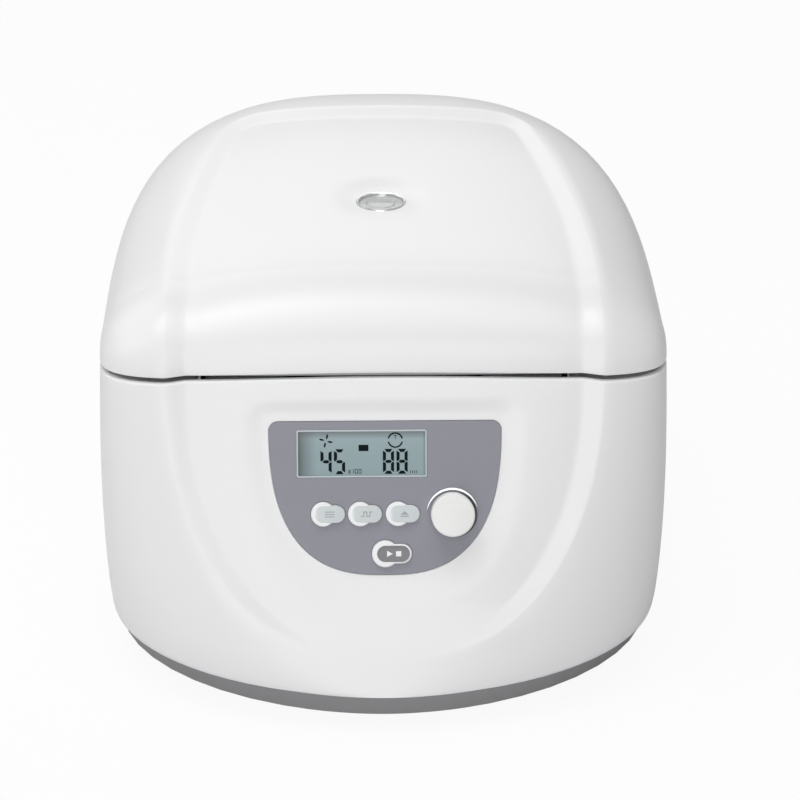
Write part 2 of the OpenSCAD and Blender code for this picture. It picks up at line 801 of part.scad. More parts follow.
module screen_window() {
    color([0.6, 0.68, 0.7])
        on_panel(0, 0, plate_back + 0.3) linear_extrude(panel_thick - 0.2)
            plate([screen[0], screen[1]], [screen[2], screen[3]], 1);
}

module screen_module() {
    color(dark)
        on_panel(0, 0, board_face + 0.1) linear_extrude(5.9)
            plate([screen[0] - 3, screen[1] - 2.5], [screen[2] + 3, screen[3] + 0.6], 1);
}

module panel_board() {
    color(green) on_panel(0, 0, board_face - 1.6) block([-56, -8, 0], [56, 52, 1.6]);
    color(dark)
        for (x = button_spots) on_panel(x + 2, button_z, board_face) block([-3, -3, 0], [3, 3, 1.6]);
    color(dark) on_panel(start_spot[0] + 2, start_spot[1] + 4, board_face) block([-3, -3, 0], [3, 3, 1.6]);
    color(dark) on_panel(-30, 0, board_face - 4.6) block([0, 0, 0], [24, 16, 3]);
}

module button(x, v, start) {
    color(white)
        on_panel(x, v)
            union() {
                translate([0, 0, plate_back - 0.6]) linear_extrude(panel_thick + 2.5)
                    if (start) start_shape(0); else button_shape(0);
                translate([0, 0, plate_back - 1.1]) linear_extrude(1)
                    if (start) start_shape(0.6); else button_shape(0.6);
                translate([2, start ? 4 : 0, board_face + 2.9])
                    cylinder(r = 1.6, h = plate_back - board_face - 3.5);
            }
}
module select_button() { button(button_spots[0], button_z, false); }
module pulse_button() { button(button_spots[1], button_z, false); }
module door_button() { button(button_spots[2], button_z, false); }
module start_button() { button(start_spot[0], start_spot[1], true); }

module knob_encoder() {
    color(steel)
        on_panel(knob_x, button_z)
            union() {
                translate([-6, -6, board_face]) cube([12, 12, plate_back - board_face - 0.2]);
                cyl(3.2, 3, plate_back - 1);
                cyl(2.5, 9, plate_back - 1);
            }
}

module knob_ring() {
    r = knob_diameter / 2 + 2.2;
    color(steel)
        on_panel(knob_x, button_z, plate_face)
            difference() {
                cylinder(r = r, h = 0.6);
                translate([0.25, -0.5, -1]) cylinder(r = r - 0.6, h = 3);
            }
}

module setting_knob() {
    r = knob_diameter / 2;
    color(white)
        on_panel(knob_x, button_z, plate_face + 1.1)
            difference() {
                rotate_extrude()
                    difference() {
                        union() {
                            square([r - 1.5, knob_height]);
                            square([r, knob_height - 1.5]);
                            translate([r - 1.5, knob_height - 1.5]) circle(r = 1.5);
                        }
                        translate([-20, -10]) square([20, 60]);
                    }
                cyl(2.55, 7, -1);
                cyl(6, 3, -1);
            }
}

// Rear service plate with the mains inlet, fuse drawer and power switch

module service_plate() {
    color(dark)
        difference() {
            block([-66, service_y - 2.5, 31], [66, service_y, 87]);
            block([-44.2, service_y - 13, 46.8], [-15.8, service_y + 17, 71.2]);
            block([-4.2, service_y - 13, 51.8], [16.2, service_y + 17, 66.2]);
            block([26.8, service_y - 13, 45.8], [48.2, service_y + 17, 72.2]);
        }
}

module power_inlet() {
    color(dark)
        difference() {
            union() {
                block([-47, service_y, 44], [-13, service_y + 2.5, 74]);
                block([-44, service_y - 23, 47], [-16, service_y, 71]);
            }
            block([-41, service_y - 17, 50], [-19, service_y + 7, 68]);
        }
    color(steel)
        for (p = [[-30, 63], [-36, 56], [-24, 56]])
            block([p[0] - 1, service_y - 17, p[1] - 2], [p[0] + 1, service_y - 1, p[1] + 2]);
}

module fuse_drawer() {
    color(dark)
        union() {
            block([-4, service_y - 21, 52], [16, service_y, 66]);
            block([-6, service_y, 50], [18, service_y + 2, 68]);
            block([2, service_y + 2, 58], [10, service_y + 3.5, 60]);
        }
}

module switch_frame() {
    color(dark)
        difference() {
            union() {
                block([24, service_y, 43], [51, service_y + 2, 75]);
                block([27, service_y - 21, 46], [48, service_y, 72]);
            }
            block([29, service_y - 15, 48], [46, service_y + 7, 70]);
            translate([28, rocker_pivot[0], rocker_pivot[1]]) rotate([0, 90, 0]) cylinder(r = 1.25, h = 19);
        }
}

rocker_pivot = [service_y - 6.5, 59];

module power_rocker() {
    color(dark)
        translate([0, rocker_pivot[0], rocker_pivot[1]])
            rotate([-8, 0, 0])
                union() {
                    translate([28.2, 0, 0]) rotate([0, 90, 0]) cylinder(r = 1.2, h = 18.6);
                    translate([29.5, 0, 0]) rotate([90, 0, 90]) linear_extrude(16)
                        polygon([[-3, -3], [10, -9.2], [11.2, -8.3], [9.4, 0], [11.2, 8.3], [10, 9.2], [-3, 3]]);
                }
}

base_pan();
feet();
lower_housing();
deck();
deck_pillars();
chamber_bowl();
chamber_base();
chamber_gasket();
motor_plate();
motor_dampers();
motor();
main_board();
rotor_shaft();
rotor_yoke();
rotor_nut();
carrier_a();
carrier_b();
lid_shell();
lid_liner();
liner_screws();
sight_bezel();
sight_glass();
strikers();
hinge_bases();
hinge_arms();
hinge_pins();
latch_bar();
latch_drive();
latch_guides();
control_plate();
screen_window();
screen_module();
panel_board();
knob_encoder();
knob_ring();
setting_knob();
select_button();
pulse_button();
door_button();
start_button();
service_plate();
power_inlet();
fuse_drawer();
switch_frame();
power_rocker();
base_screws();
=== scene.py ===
# %% [markdown]
# # A bench centrifuge for two microplates
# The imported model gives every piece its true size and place. This lesson dresses it: the two moulded
# shells are modelled again as smooth meshes from the same formulas, the small controls get rounded
# forms, and each surface gets a procedural finish. Everything is in metres, with +Z up.

# %% Load the frame
import math

import bpy
import bmesh
import numpy as np
from mathutils import Matrix, Vector


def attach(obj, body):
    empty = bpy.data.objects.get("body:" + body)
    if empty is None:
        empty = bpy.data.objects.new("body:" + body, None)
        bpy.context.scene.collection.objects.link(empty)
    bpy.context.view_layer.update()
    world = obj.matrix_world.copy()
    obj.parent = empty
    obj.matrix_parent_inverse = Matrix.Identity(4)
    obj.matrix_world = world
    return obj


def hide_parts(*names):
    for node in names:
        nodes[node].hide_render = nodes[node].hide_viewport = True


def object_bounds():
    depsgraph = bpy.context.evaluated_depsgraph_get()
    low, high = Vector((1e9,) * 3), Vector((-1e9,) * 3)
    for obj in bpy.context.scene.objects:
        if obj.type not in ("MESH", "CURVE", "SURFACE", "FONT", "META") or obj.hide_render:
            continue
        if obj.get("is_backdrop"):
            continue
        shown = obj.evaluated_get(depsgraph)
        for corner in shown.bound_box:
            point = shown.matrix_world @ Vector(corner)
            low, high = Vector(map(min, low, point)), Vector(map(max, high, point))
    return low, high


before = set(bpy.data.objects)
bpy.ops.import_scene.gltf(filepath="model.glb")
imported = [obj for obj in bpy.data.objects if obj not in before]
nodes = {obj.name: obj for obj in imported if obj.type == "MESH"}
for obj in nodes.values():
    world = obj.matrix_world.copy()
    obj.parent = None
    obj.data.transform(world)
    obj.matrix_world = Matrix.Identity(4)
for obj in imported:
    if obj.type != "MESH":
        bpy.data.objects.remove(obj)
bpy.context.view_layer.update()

MM = 0.001

# %% [markdown]
# ## Camera
# The view was fitted to the outline of the real object: a long lens, a little above the lid. A camera
# can be aimed with a Track To constraint or by hand. Here its direction comes from two angles, since
# these are what the fit gave. Lens and shift then place the object in the square picture.

# %% Camera
TARGET = Vector((0, -0.008, 0.110))
CAMERA_TURN = math.radians(-0.9)
CAMERA_RISE = math.radians(25.5)
CAMERA_DISTANCE = 1.440
CAMERA_LENS = 109.8
CAMERA_SHIFT = (0.0236, -0.0068)

backward = Vector((math.sin(CAMERA_TURN) * math.cos(CAMERA_RISE),
                   -math.cos(CAMERA_TURN) * math.cos(CAMERA_RISE),
                   math.sin(CAMERA_RISE)))
camera_data = bpy.data.cameras.new("camera")
camera = bpy.data.objects.new("camera", camera_data)
bpy.context.scene.collection.objects.link(camera)
camera.location = TARGET + backward * CAMERA_DISTANCE
camera.rotation_euler = (-backward).to_track_quat("-Z", "Y").to_euler()
camera_data.lens = CAMERA_LENS
camera_data.sensor_width = 36
camera_data.shift_x, camera_data.shift_y = CAMERA_SHIFT
bpy.context.scene.camera = camera
print("camera at", [round(v, 3) for v in camera.location])

# %% [markdown]
# ## Shared shader effects
# Moulded plastic is never perfectly even: it has a fine grain from the mould, and a very soft change of
# tone over the part. Metal shows fine streaks along the way it was ground. Both could be painted as
# pictures, but noise computed in 3-D needs no unwrapping and has no seams. Each effect is one node
# group that puts out masks and heights, so that every material can use it with its own values.

# %% Helpers for node groups
def new_group(name, inputs, outputs):
    group = bpy.data.node_groups.new(name, "ShaderNodeTree")
    for label, kind, value in inputs:
        socket = group.interface.new_socket(label, in_out="INPUT", socket_type=kind)
        socket.default_value = value
    for label, kind in outputs:
        group.interface.new_socket(label, in_out="OUTPUT", socket_type=kind)
    start = group.nodes.new("NodeGroupInput")
    end = group.nodes.new("NodeGroupOutput")
    return group, start, end


def add_noise(tree, vector, scale, detail=2.0, roughness=0.5):
    node = tree.nodes.new("ShaderNodeTexNoise")
    node.inputs["Detail"].default_value = detail
    node.inputs["Roughness"].default_value = roughness
    tree.links.new(vector, node.inputs["Vector"])
    if isinstance(scale, (int, float)):
        node.inputs["Scale"].default_value = scale
    else:
        tree.links.new(scale, node.inputs["Scale"])
    return node.outputs["Fac"]


def add_range(tree, value, low, high, to_low, to_high):
    node = tree.nodes.new("ShaderNodeMapRange")
    limits = {"From Min": low, "From Max": high, "To Min": to_low, "To Max": to_high}
    for label, number in limits.items():
        if isinstance(number, (int, float)):
            node.inputs[label].default_value = number
        else:
            tree.links.new(number, node.inputs[label])
    tree.links.new(value, node.inputs["Value"])
    return node.outputs["Result"]


def add_math(tree, kind, a, b):
    node = tree.nodes.new("ShaderNodeMath")
    node.operation = kind
    for socket, value in zip(node.inputs, (a, b)):
        if isinstance(value, (int, float)):
            socket.default_value = value
        else:
            tree.links.new(value, socket)
    return node.outputs[0]


print("node helpers: new_group, add_noise, add_range, add_math")

# %% Mould grain
SURFACE_OUTPUTS = [("Height", "NodeSocketFloat"), ("Roughness", "NodeSocketFloat"),
                   ("Tone", "NodeSocketFloat")]


def spread_out(group, start, end, mask, low, high):
    """Turns a noise into a roughness about its middle value and a tone that only darkens."""
    spread = start.outputs["Roughness Spread"]
    smoothest = add_math(group, "SUBTRACT", start.outputs["Roughness"], spread)
    roughest = add_math(group, "ADD", start.outputs["Roughness"], spread)
    darkest = add_math(group, "SUBTRACT", 1.0, start.outputs["Tone Drift"])
    group.links.new(add_range(group, mask, low, high, smoothest, roughest), end.inputs["Roughness"])
    group.links.new(add_range(group, mask, low, high, darkest, 1.0), end.inputs["Tone"])


def build_mould_grain():
    """Fine grain as a height, its roughness and a soft drift of tone."""
    group, start, end = new_group(
        "mould_grain",
        [("Vector", "NodeSocketVector", (0, 0, 0)), ("Grain Scale", "NodeSocketFloat", 2600.0),
         ("Roughness", "NodeSocketFloat", 0.3), ("Roughness Spread", "NodeSocketFloat", 0.04),
         ("Tone Drift", "NodeSocketFloat", 0.02)],
        SURFACE_OUTPUTS)
    vector = start.outputs["Vector"]
    grain = add_noise(group, vector, start.outputs["Grain Scale"], detail=3.0, roughness=0.6)
    cloud = add_noise(group, vector, 9.0, detail=2.0)
    group.links.new(grain, end.inputs["Height"])
    spread_out(group, start, end, cloud, 0.1, 0.9)
    return group


mould_grain = build_mould_grain()
print("shader group:", mould_grain.name)


# %% Ground streaks
def build_ground_streaks():
    """Streaks of ground or turned metal, stretched along one axis of the given vector."""
    group, start, end = new_group(
        "ground_streaks",
        [("Vector", "NodeSocketVector", (0, 0, 0)),
         ("Stretch", "NodeSocketVector", (40.0, 2400.0, 2400.0)),
         ("Roughness", "NodeSocketFloat", 0.3), ("Roughness Spread", "NodeSocketFloat", 0.12),
         ("Tone Drift", "NodeSocketFloat", 0.12)],
        SURFACE_OUTPUTS)
    multiply = group.nodes.new("ShaderNodeVectorMath")
    multiply.operation = "MULTIPLY"
    group.links.new(start.outputs["Vector"], multiply.inputs[0])
    group.links.new(start.outputs["Stretch"], multiply.inputs[1])
    streak = add_noise(group, multiply.outputs["Vector"], 1.0, detail=4.0, roughness=0.65)
    group.links.new(streak, end.inputs["Height"])
    spread_out(group, start, end, streak, 0.3, 0.7)
    return group


ground_streaks = build_ground_streaks()
print("shader group:", ground_streaks.name)

# %% [markdown]
# ## Materials
# The shells are glossy white plastic, the panel and pan matt grey, and the inside ground steel and cast
# metal. One function places an effect group in a Principled material, so all of them are built alike
# and differ in values alone. Colours are linear values. What is the same all over a surface, such as
# coat or index of refraction, is set on the shader's own socket.

# %% Material maker
def make_material(name, colour, effect, settings, bump=0.02, distance=0.0001, constants=None):
    material = bpy.data.materials.new(name)
    material.use_nodes = True
    tree = material.node_tree
    shader = tree.nodes["Principled BSDF"]
    place = tree.nodes.new("ShaderNodeTexCoord")
    group = tree.nodes.new("ShaderNodeGroup")
    group.node_tree = effect
    tree.links.new(place.outputs["Object"], group.inputs["Vector"])
    for label, value in settings.items():
        group.inputs[label].default_value = value
    tone = tree.nodes.new("ShaderNodeMix")
    tone.data_type = "RGBA"
    tone.blend_type = "MULTIPLY"
    tone.inputs["Factor"].default_value = 1.0
    tone.inputs["A"].default_value = (*colour, 1)
    tree.links.new(group.outputs["Tone"], tone.inputs["B"])
    tree.links.new(tone.outputs["Result"], shader.inputs["Base Color"])
    tree.links.new(group.outputs["Roughness"], shader.inputs["Roughness"])
    height = tree.nodes.new("ShaderNodeBump")
    height.inputs["Strength"].default_value = bump
    height.inputs["Distance"].default_value = distance
    tree.links.new(group.outputs["Height"], height.inputs["Height"])
    tree.links.new(height.outputs["Normal"], shader.inputs["Normal"])
    for label, value in (constants or {}).items():
        shader.inputs[label].default_value = value
    return material


def plastic(name, colour, roughness, **more):
    settings = {"Roughness": roughness, "Roughness Spread": more.pop("spread", 0.03),
                "Tone Drift": more.pop("drift", 0.015), "Grain Scale": more.pop("grain", 2600.0)}
    return make_material(name, colour, mould_grain, settings, **more)


def metal(name, colour, roughness, stretch, **more):
    settings = {"Roughness": roughness, "Roughness Spread": more.pop("spread", 0.08),
                "Tone Drift": more.pop("drift", 0.1), "Stretch": stretch}
    return make_material(name, colour, ground_streaks, settings, constants={"Metallic": 1.0}, **more)


print("material makers: plastic for moulded pieces, metal for ground and turned ones")

# %% The finishes of this machine
white_shell = plastic("white_shell", (0.86, 0.86, 0.865), 0.3, constants={"IOR": 1.47})
white_inside = plastic("white_inside", (0.80, 0.80, 0.81), 0.42, bump=0.05)
pan_grey = plastic("pan_grey", (0.255, 0.255, 0.26), 0.5, bump=0.12, grain=1800.0)
panel_grey = plastic("panel_grey", (0.262, 0.262, 0.305), 0.48, bump=0.08, grain=3200.0)
key_white = plastic("key_white", (0.88, 0.88, 0.89), 0.3)
key_grey = plastic("key_grey", (0.2, 0.2, 0.21), 0.4)
key_mark = plastic("key_mark", (0.36, 0.37, 0.39), 0.5)
knob_white = plastic("knob_white", (0.84, 0.84, 0.83), 0.28)
black_plastic = plastic("black_plastic", (0.018, 0.018, 0.02), 0.42, bump=0.2, grain=1500.0)
rubber = plastic("rubber", (0.02, 0.02, 0.02), 0.7, bump=0.3, grain=1200.0, spread=0.08)
board_green = plastic("board_green", (0.02, 0.12, 0.05), 0.35, spread=0.08, drift=0.3)
stainless = metal("stainless", (0.58, 0.58, 0.59), 0.27, (30.0, 30.0, 2600.0))
turned_steel = metal("turned_steel", (0.55, 0.55, 0.56), 0.3, (1500.0, 1500.0, 60.0))
rotor_metal = metal("rotor_metal", (0.52, 0.53, 0.55), 0.42, (500.0, 500.0, 500.0), spread=0.06)
bezel_silver = metal("bezel_silver", (0.72, 0.72, 0.73), 0.22, (900.0, 900.0, 900.0), drift=0.05)
dark_steel = metal("dark_steel", (0.05, 0.05, 0.052), 0.45, (700.0, 700.0, 700.0))
lcd_ink = plastic("lcd_ink", (0.004, 0.010, 0.012), 0.6, constants={"Specular IOR Level": 0.05})
lcd_frame = plastic("lcd_frame", (0.52, 0.58, 0.60), 0.35)
print("finishes:", len(bpy.data.materials))


# %% [markdown]
# ## Clear plastic
# The sight glass is a thick clear moulding over a dark room. With full transmission it would look
# black, but in the picture it is grey and bright. So half of its light passes and half is scattered
# back. Its transmission is a plain value, because the export reads only that.

# %% Clear plastic of the sight glass
def make_glass():
    """Half clear, half milky, so that the dark room under the lid shows only softly."""
    material = bpy.data.materials.new("sight_glass")
    material.use_nodes = True
    shader = material.node_tree.nodes["Principled BSDF"]
    shader.inputs["Base Color"].default_value = (0.93, 0.95, 0.95, 1)
    shader.inputs["Roughness"].default_value = 0.03
    shader.inputs["IOR"].default_value = 1.49
    shader.inputs["Transmission Weight"].default_value = 0.5
    return material


clear_glass = make_glass()
print("glass:", clear_glass.name)

# %% [markdown]
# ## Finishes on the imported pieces
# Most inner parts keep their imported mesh, because it already has their true shape. They get a finish
# and a small bevel, since real edges are never sharp and a rounded edge catches a thin line of light.
# Edges could also be rounded in the shader, but a modifier holds up close by and in an export. A weld
# joins the split corners first, and the bevel rounds only what turns by 40 degrees.

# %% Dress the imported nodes
FINISH = {
    white_inside: ["deck", "lid_liner"],
    white_shell: ["lower_housing", "lid_shell", "hinge_bases", "hinge_arms"],
    pan_grey: ["base_pan"],
    panel_grey: ["control_plate"],
    key_white: ["select_button", "pulse_button", "door_button", "start_button"],
    knob_white: ["setting_knob"],
    black_plastic: ["latch_drive", "latch_guides", "service_plate", "power_inlet", "fuse_drawer",
                    "switch_frame", "power_rocker", "rotor_nut", "screen_module"],
    rubber: ["feet", "chamber_gasket", "motor_dampers"],
    stainless: ["chamber_bowl", "chamber_base", "latch_bar", "motor_plate"],
    dark_steel: ["strikers"],
    turned_steel: ["deck_pillars", "rotor_shaft", "liner_screws", "hinge_pins", "base_screws",
                   "knob_encoder"],
    rotor_metal: ["rotor_yoke", "carrier_a", "carrier_b", "motor"],
    bezel_silver: ["sight_bezel", "knob_ring"],
    clear_glass: ["sight_glass"],
    lcd_frame: ["screen_window"],
    board_green: ["main_board", "panel_board"],
}
BEVEL = {"deck": 0.6, "lid_liner": 0.5, "hinge_bases": 0.8, "hinge_arms": 0.8,
         "latch_drive": 0.4, "service_plate": 0.4, "power_inlet": 0.5, "fuse_drawer": 0.5,
         "switch_frame": 0.5, "power_rocker": 0.4, "rotor_nut": 0.4, "rotor_yoke": 0.6,
         "carrier_a": 0.4, "carrier_b": 0.4, "strikers": 0.3, "latch_bar": 0.3, "motor": 0.5}


def dress(name, material):
    node = nodes[name]
    node.data.materials.clear()
    node.data.materials.append(material)
    if name in BEVEL:
        weld = node.modifiers.new("weld", "WELD")
        weld.merge_threshold = 0.01 * MM
        bevel = node.modifiers.new("bevel", "BEVEL")
        bevel.width = BEVEL[name] * MM
        bevel.segments = 2
        bevel.limit_method = "ANGLE"
        bevel.angle_limit = math.radians(40)


for finish, names in FINISH.items():
    for name in names:
        dress(name, finish)
print("dressed:", sum(len(names) for names in FINISH.values()), "of", len(nodes), "nodes")

# %% [markdown]
# ## The shape of the two shells
# The two white shells are soft mouldings: no flat side, and no edge that stays the same all along. They
# could be sculpted or pulled out of a subdivided box, but then nothing would keep them on the fitted
# outline. So both are lofts of superellipses: at every height the outline is half a superellipse in
# front and half behind the line POLE_Y, and its front leans back. A shallow step runs as a U down the
# housing and as a loop round the lid. The values are in millimetres. They are those of the
# construction, but for a step that is 1.2 mm deeper, because the picture shows it strongly.

# %% Driving sizes of the shells
HALF_WIDTH = 155.0
SIDE_SWELL = 2.0
SEAM_FRONT = 133.0
BASE_FRONT = 200.0
SEAM_REAR = 193.5
BASE_REAR = 195.0
HOUSING_BOTTOM = 21.8
SEAM_Z = 179.0
SEAM_DROP = 3.0
SEAM_DROP_X = 120.0
SEAM_GAP = 3.0
WALL = 3.0
POLE_Y = -80.0
FRONT_POWER = (1.91, 4.07)
REAR_POWER = 3.07
RECESS_DEPTH = 4.2
RECESS_HALF = 112.0
RECESS_BAND = 12.0
RECESS_BOTTOM = 40.0
RECESS_POWER = 2.25
RECESS_FADE = 30.0


def mix(a, b, t):
    return a + (b - a) * t


def smooth(t):
    t = np.clip(t, 0, 1)
    return t * t * (3 - 2 * t)


def signed_power(v, e):
    return np.sign(v) * np.abs(v) ** e


def level(z):
    return np.clip((z - HOUSING_BOTTOM) / (SEAM_Z - HOUSING_BOTTOM), 0, 1.1)


def half_at(z):
    return HALF_WIDTH + SIDE_SWELL * np.sin(math.pi * np.clip(level(z), 0, 1))


def front_at(z):
    return mix(BASE_FRONT, SEAM_FRONT, (z - HOUSING_BOTTOM) / (SEAM_Z - HOUSING_BOTTOM))


def rear_at(z):
    return mix(BASE_REAR, SEAM_REAR, np.clip(level(z), 0, 1))


def power_at(z):
    return mix(FRONT_POWER[0], FRONT_POWER[1], np.sqrt(np.clip(level(z), 0, 1)))


def seam_height(x):
    return SEAM_Z - SEAM_DROP * (x / SEAM_DROP_X) ** 2


print("seam at", SEAM_Z, "mm in the middle,", round(seam_height(HALF_WIDTH), 1), "mm at the sides")


# %% [markdown]
# ## The panel plane
# The control panel is a flat plate, sunk in a soft pocket of the sloping front. Its keys could be placed
# in world axes, but every height would then need a sum. Here one matrix holds the plane, and points on
# it are given as x, distance v up the slope and w out of its face.

# %% The panel plane
PANEL_HALF = 62.2
PANEL_TOP = 63.0
PANEL_BOTTOM = -19.4
PANEL_POWER = 2.65
PANEL_CORNER = 5.0
POCKET_DEPTH = 6.0
POCKET_SLOPE = 13.0
POCKET_EDGE = 2.0
PLATE_FACE = -POCKET_DEPTH + 0.5
LEAN = math.atan((BASE_FRONT - SEAM_FRONT) / (SEAM_Z - HOUSING_BOTTOM))
PANEL_ORIGIN = Vector((0, -float(front_at(100.0)), 100.0)) * MM
ON_PANEL = Matrix.Translation(PANEL_ORIGIN) @ Matrix.Rotation(math.pi / 2 - LEAN, 4, "X")


def panel_reach(x, v):
    """Distance outside the panel's outline, roughly in millimetres."""
    below = np.maximum(0, (PANEL_TOP - v) / (PANEL_TOP - PANEL_BOTTOM))
    side = ((np.abs(x) / PANEL_HALF) ** PANEL_POWER + below ** PANEL_POWER) ** (1 / PANEL_POWER)
    a = (side - 1) * PANEL_HALF
    b = v - PANEL_TOP
    return np.hypot(np.maximum(a, 0), np.maximum(b, 0)) + np.minimum(np.maximum(a, b), 0)


def slope_up(z):
    return (z - 100) / math.cos(LEAN) + POCKET_DEPTH * math.tan(LEAN)


def pocket_at(x, z):
    """From 1 in the panel's pocket to 0 on the plain front."""
    return 1 - smooth((panel_reach(x, slope_up(z)) - POCKET_EDGE) / POCKET_SLOPE)


print("the panel leans back by", round(math.degrees(LEAN), 1), "degrees")


# %% [markdown]
# ## The recessed step
# A shallow step in the shape of a U breaks up the large white front. A boolean could cut it, but would
# leave a hard edge on a curved skin. Here it is a depth that is added in the skin's own formula, so it
# stays soft, follows the slope and runs out near the base.

# %% The recessed step of the housing
def recess_half_at(z):
    s = np.clip((SEAM_Z - z) / (SEAM_Z - RECESS_BOTTOM), 0, 1)
    return RECESS_HALF * (1 - s ** RECESS_POWER) ** (1 / RECESS_POWER)


def band_profile(t):
    """From 0 at the outer edge to 1 at the inner edge: a straight slope with short rounded ends."""
    t = np.clip(t, 0, 1)
    return mix(t, smooth(t), 0.25)


def recess_at(x, z):
    fade = smooth((z - RECESS_BOTTOM + 2) / RECESS_FADE)
    inside = recess_half_at(z) + RECESS_BAND / 2 - np.abs(x)
    return RECESS_DEPTH * fade * band_profile(inside / RECESS_BAND)


print("the step is", RECESS_DEPTH, "mm deep and", RECESS_BAND, "mm wide")


# %% [markdown]
# ## Mesh helpers
# The pieces below are made from points and faces, which keeps their real sizes in sight. Sculpting would
# hide them. Openings are cut with the exact boolean, because it leaves clean edges, and the result is
# applied at once, so that no cutter stays in the file.

# %% Mesh helpers
def object_from(name, points, faces, material, smooth_angle=35, place=None):
    """A smooth piece that keeps its sharp edges. With a place, the points are in the place's axes."""
    mesh = bpy.data.meshes.new(name)
    mesh.from_pydata([tuple(p) for p in points], [], faces)
    mesh.validate()
    mesh.materials.append(material)
    mesh.shade_smooth()
    mesh.set_sharp_from_angle(angle=math.radians(smooth_angle))
    made = bpy.data.objects.new(name, mesh)
    bpy.context.scene.collection.objects.link(made)
    if place is not None:
        made.matrix_world = place
        bpy.context.view_layer.update()
    return made


def apply_modifiers(made, smooth_angle=35):
    graph = bpy.context.evaluated_depsgraph_get()
    mesh = bpy.data.meshes.new_from_object(made.evaluated_get(graph))
    made.modifiers.clear()
    made.data = mesh
    mesh.shade_smooth()
    mesh.set_sharp_from_angle(angle=math.radians(smooth_angle))


def cut_with(made, cutter):
    """Takes the cutter's shape out of the piece, and removes the cutter."""
    boolean = made.modifiers.new("cut", "BOOLEAN")
    boolean.operation = "DIFFERENCE"
    boolean.solver = "EXACT"
    boolean.object = cutter
    apply_modifiers(made)
    bpy.data.objects.remove(cutter)


def join_blocks(name, boxes):
    """Several boxes as one cutter. They do not touch each other."""
    made = bmesh.new()
    for low, high in boxes:
        size = (Vector(high) - Vector(low)) * MM
        centre = (Vector(high) + Vector(low)) * MM / 2
        place = Matrix.Translation(centre) @ Matrix.Diagonal((*size, 1))
        bmesh.ops.create_cube(made, size=1, matrix=place)
    mesh = bpy.data.meshes.new(name)
    made.to_mesh(mesh)
    made.free()
    cutter = bpy.data.objects.new(name, mesh)
    bpy.context.scene.collection.objects.link(cutter)
    return cutter


print("mesh helpers: object_from, apply_modifiers, cut_with, join_blocks")

# %% [markdown]
# ## Lower housing
# The lower housing is the large white moulding that carries the controls. It is made as one closed
# skin: an outer wall, a small roll over its top edge, and an inner wall, as in a real moulding, so an
# open lid shows a true thickness. Rows follow the curved seam, and columns are placed so that both
# edges of the recessed step are always met: a plain grid would show the step as a saw. The pocket of
# the control panel is blended to the panel's own plane.

# %% Housing columns and rows
def column_angles(half, power, outer, inner, side_count, band_count, face_count):
    """Angles from the side to the middle of the front, dense on the sloping step."""
    turn = lambda x: math.asin(min(1.0, (x / half)) ** (power / 2))
    side = [mix(math.pi / 2, turn(outer), (k / side_count) ** 1.5) for k in range(side_count)]
    band = [turn(mix(outer, inner, k / band_count)) for k in range(band_count)]
    face = [turn(inner * (1 - k / face_count)) for k in range(face_count)]
    return np.array(side + band + face)


def both_sides(angles):
    return np.concatenate([angles, [0], -angles[::-1]])


HOUSING_COLUMNS = (20, 9, 46)
REAR_COLUMNS = 72
LEAST_RECESS_HALF = 56.0


def housing_ring(s, inset, drop=0.0):
    """One closed ring of the housing at share s of its height. Inset is towards the inside."""
    nominal = mix(HOUSING_BOTTOM, SEAM_Z - SEAM_GAP / 2, s)
    half, power = half_at(nominal), power_at(nominal)
    middle = max(recess_half_at(nominal), LEAST_RECESS_HALF)
    turns = both_sides(column_angles(half, power, middle + RECESS_BAND / 2, middle - RECESS_BAND / 2,
                                     *HOUSING_COLUMNS))
    rear_turns = math.pi / 2 * np.linspace(-1, 1, REAR_COLUMNS + 2)[1:-1]
    x = (half - inset) * np.concatenate([
        signed_power(np.sin(turns), 2 / power), signed_power(np.sin(rear_turns), 2 / REAR_POWER)])
    z = mix(HOUSING_BOTTOM, seam_height(x) - SEAM_GAP / 2, s) - drop
    depth = front_at(z) + POLE_Y - inset
    back = rear_at(z) - POLE_Y - inset
    count = len(turns)
    y = np.empty(len(x))
    front_y = POLE_Y - depth[:count] * np.abs(np.cos(turns)) ** (2 / power)
    panel_plane = -front_at(z[:count]) + (POCKET_DEPTH + inset) / math.cos(LEAN)
    stepped = front_y + recess_at(x[:count], z[:count])
    y[:count] = mix(stepped, panel_plane, pocket_at(x[:count], z[:count]))
    y[count:] = POLE_Y + back[count:] * np.abs(np.cos(rear_turns)) ** (2 / REAR_POWER)
    return np.stack([x, y, z], 1)


def rolled_rings(ring, radius, steps=4):
    """Rings that roll over an edge: the inset grows as the height runs out."""
    rolls = []
    for k in range(1, steps + 1):
        a = math.pi / 2 * k / steps
        rolls.append(ring(radius * (1 - math.cos(a)), radius * (1 - math.sin(a))))
    return rolls


def stitch(rings, closed):
    """Quads between following rings. With closed, the last ring joins the first."""
    count = len(rings[0])
    faces = []
    for i in range(len(rings) if closed else len(rings) - 1):
        a, b = i * count, ((i + 1) % len(rings)) * count
        faces += [(a + j, a + (j + 1) % count, b + (j + 1) % count, b + j) for j in range(count)]
    return faces


print("columns of the housing:", 2 * sum(HOUSING_COLUMNS) + 1 + REAR_COLUMNS)

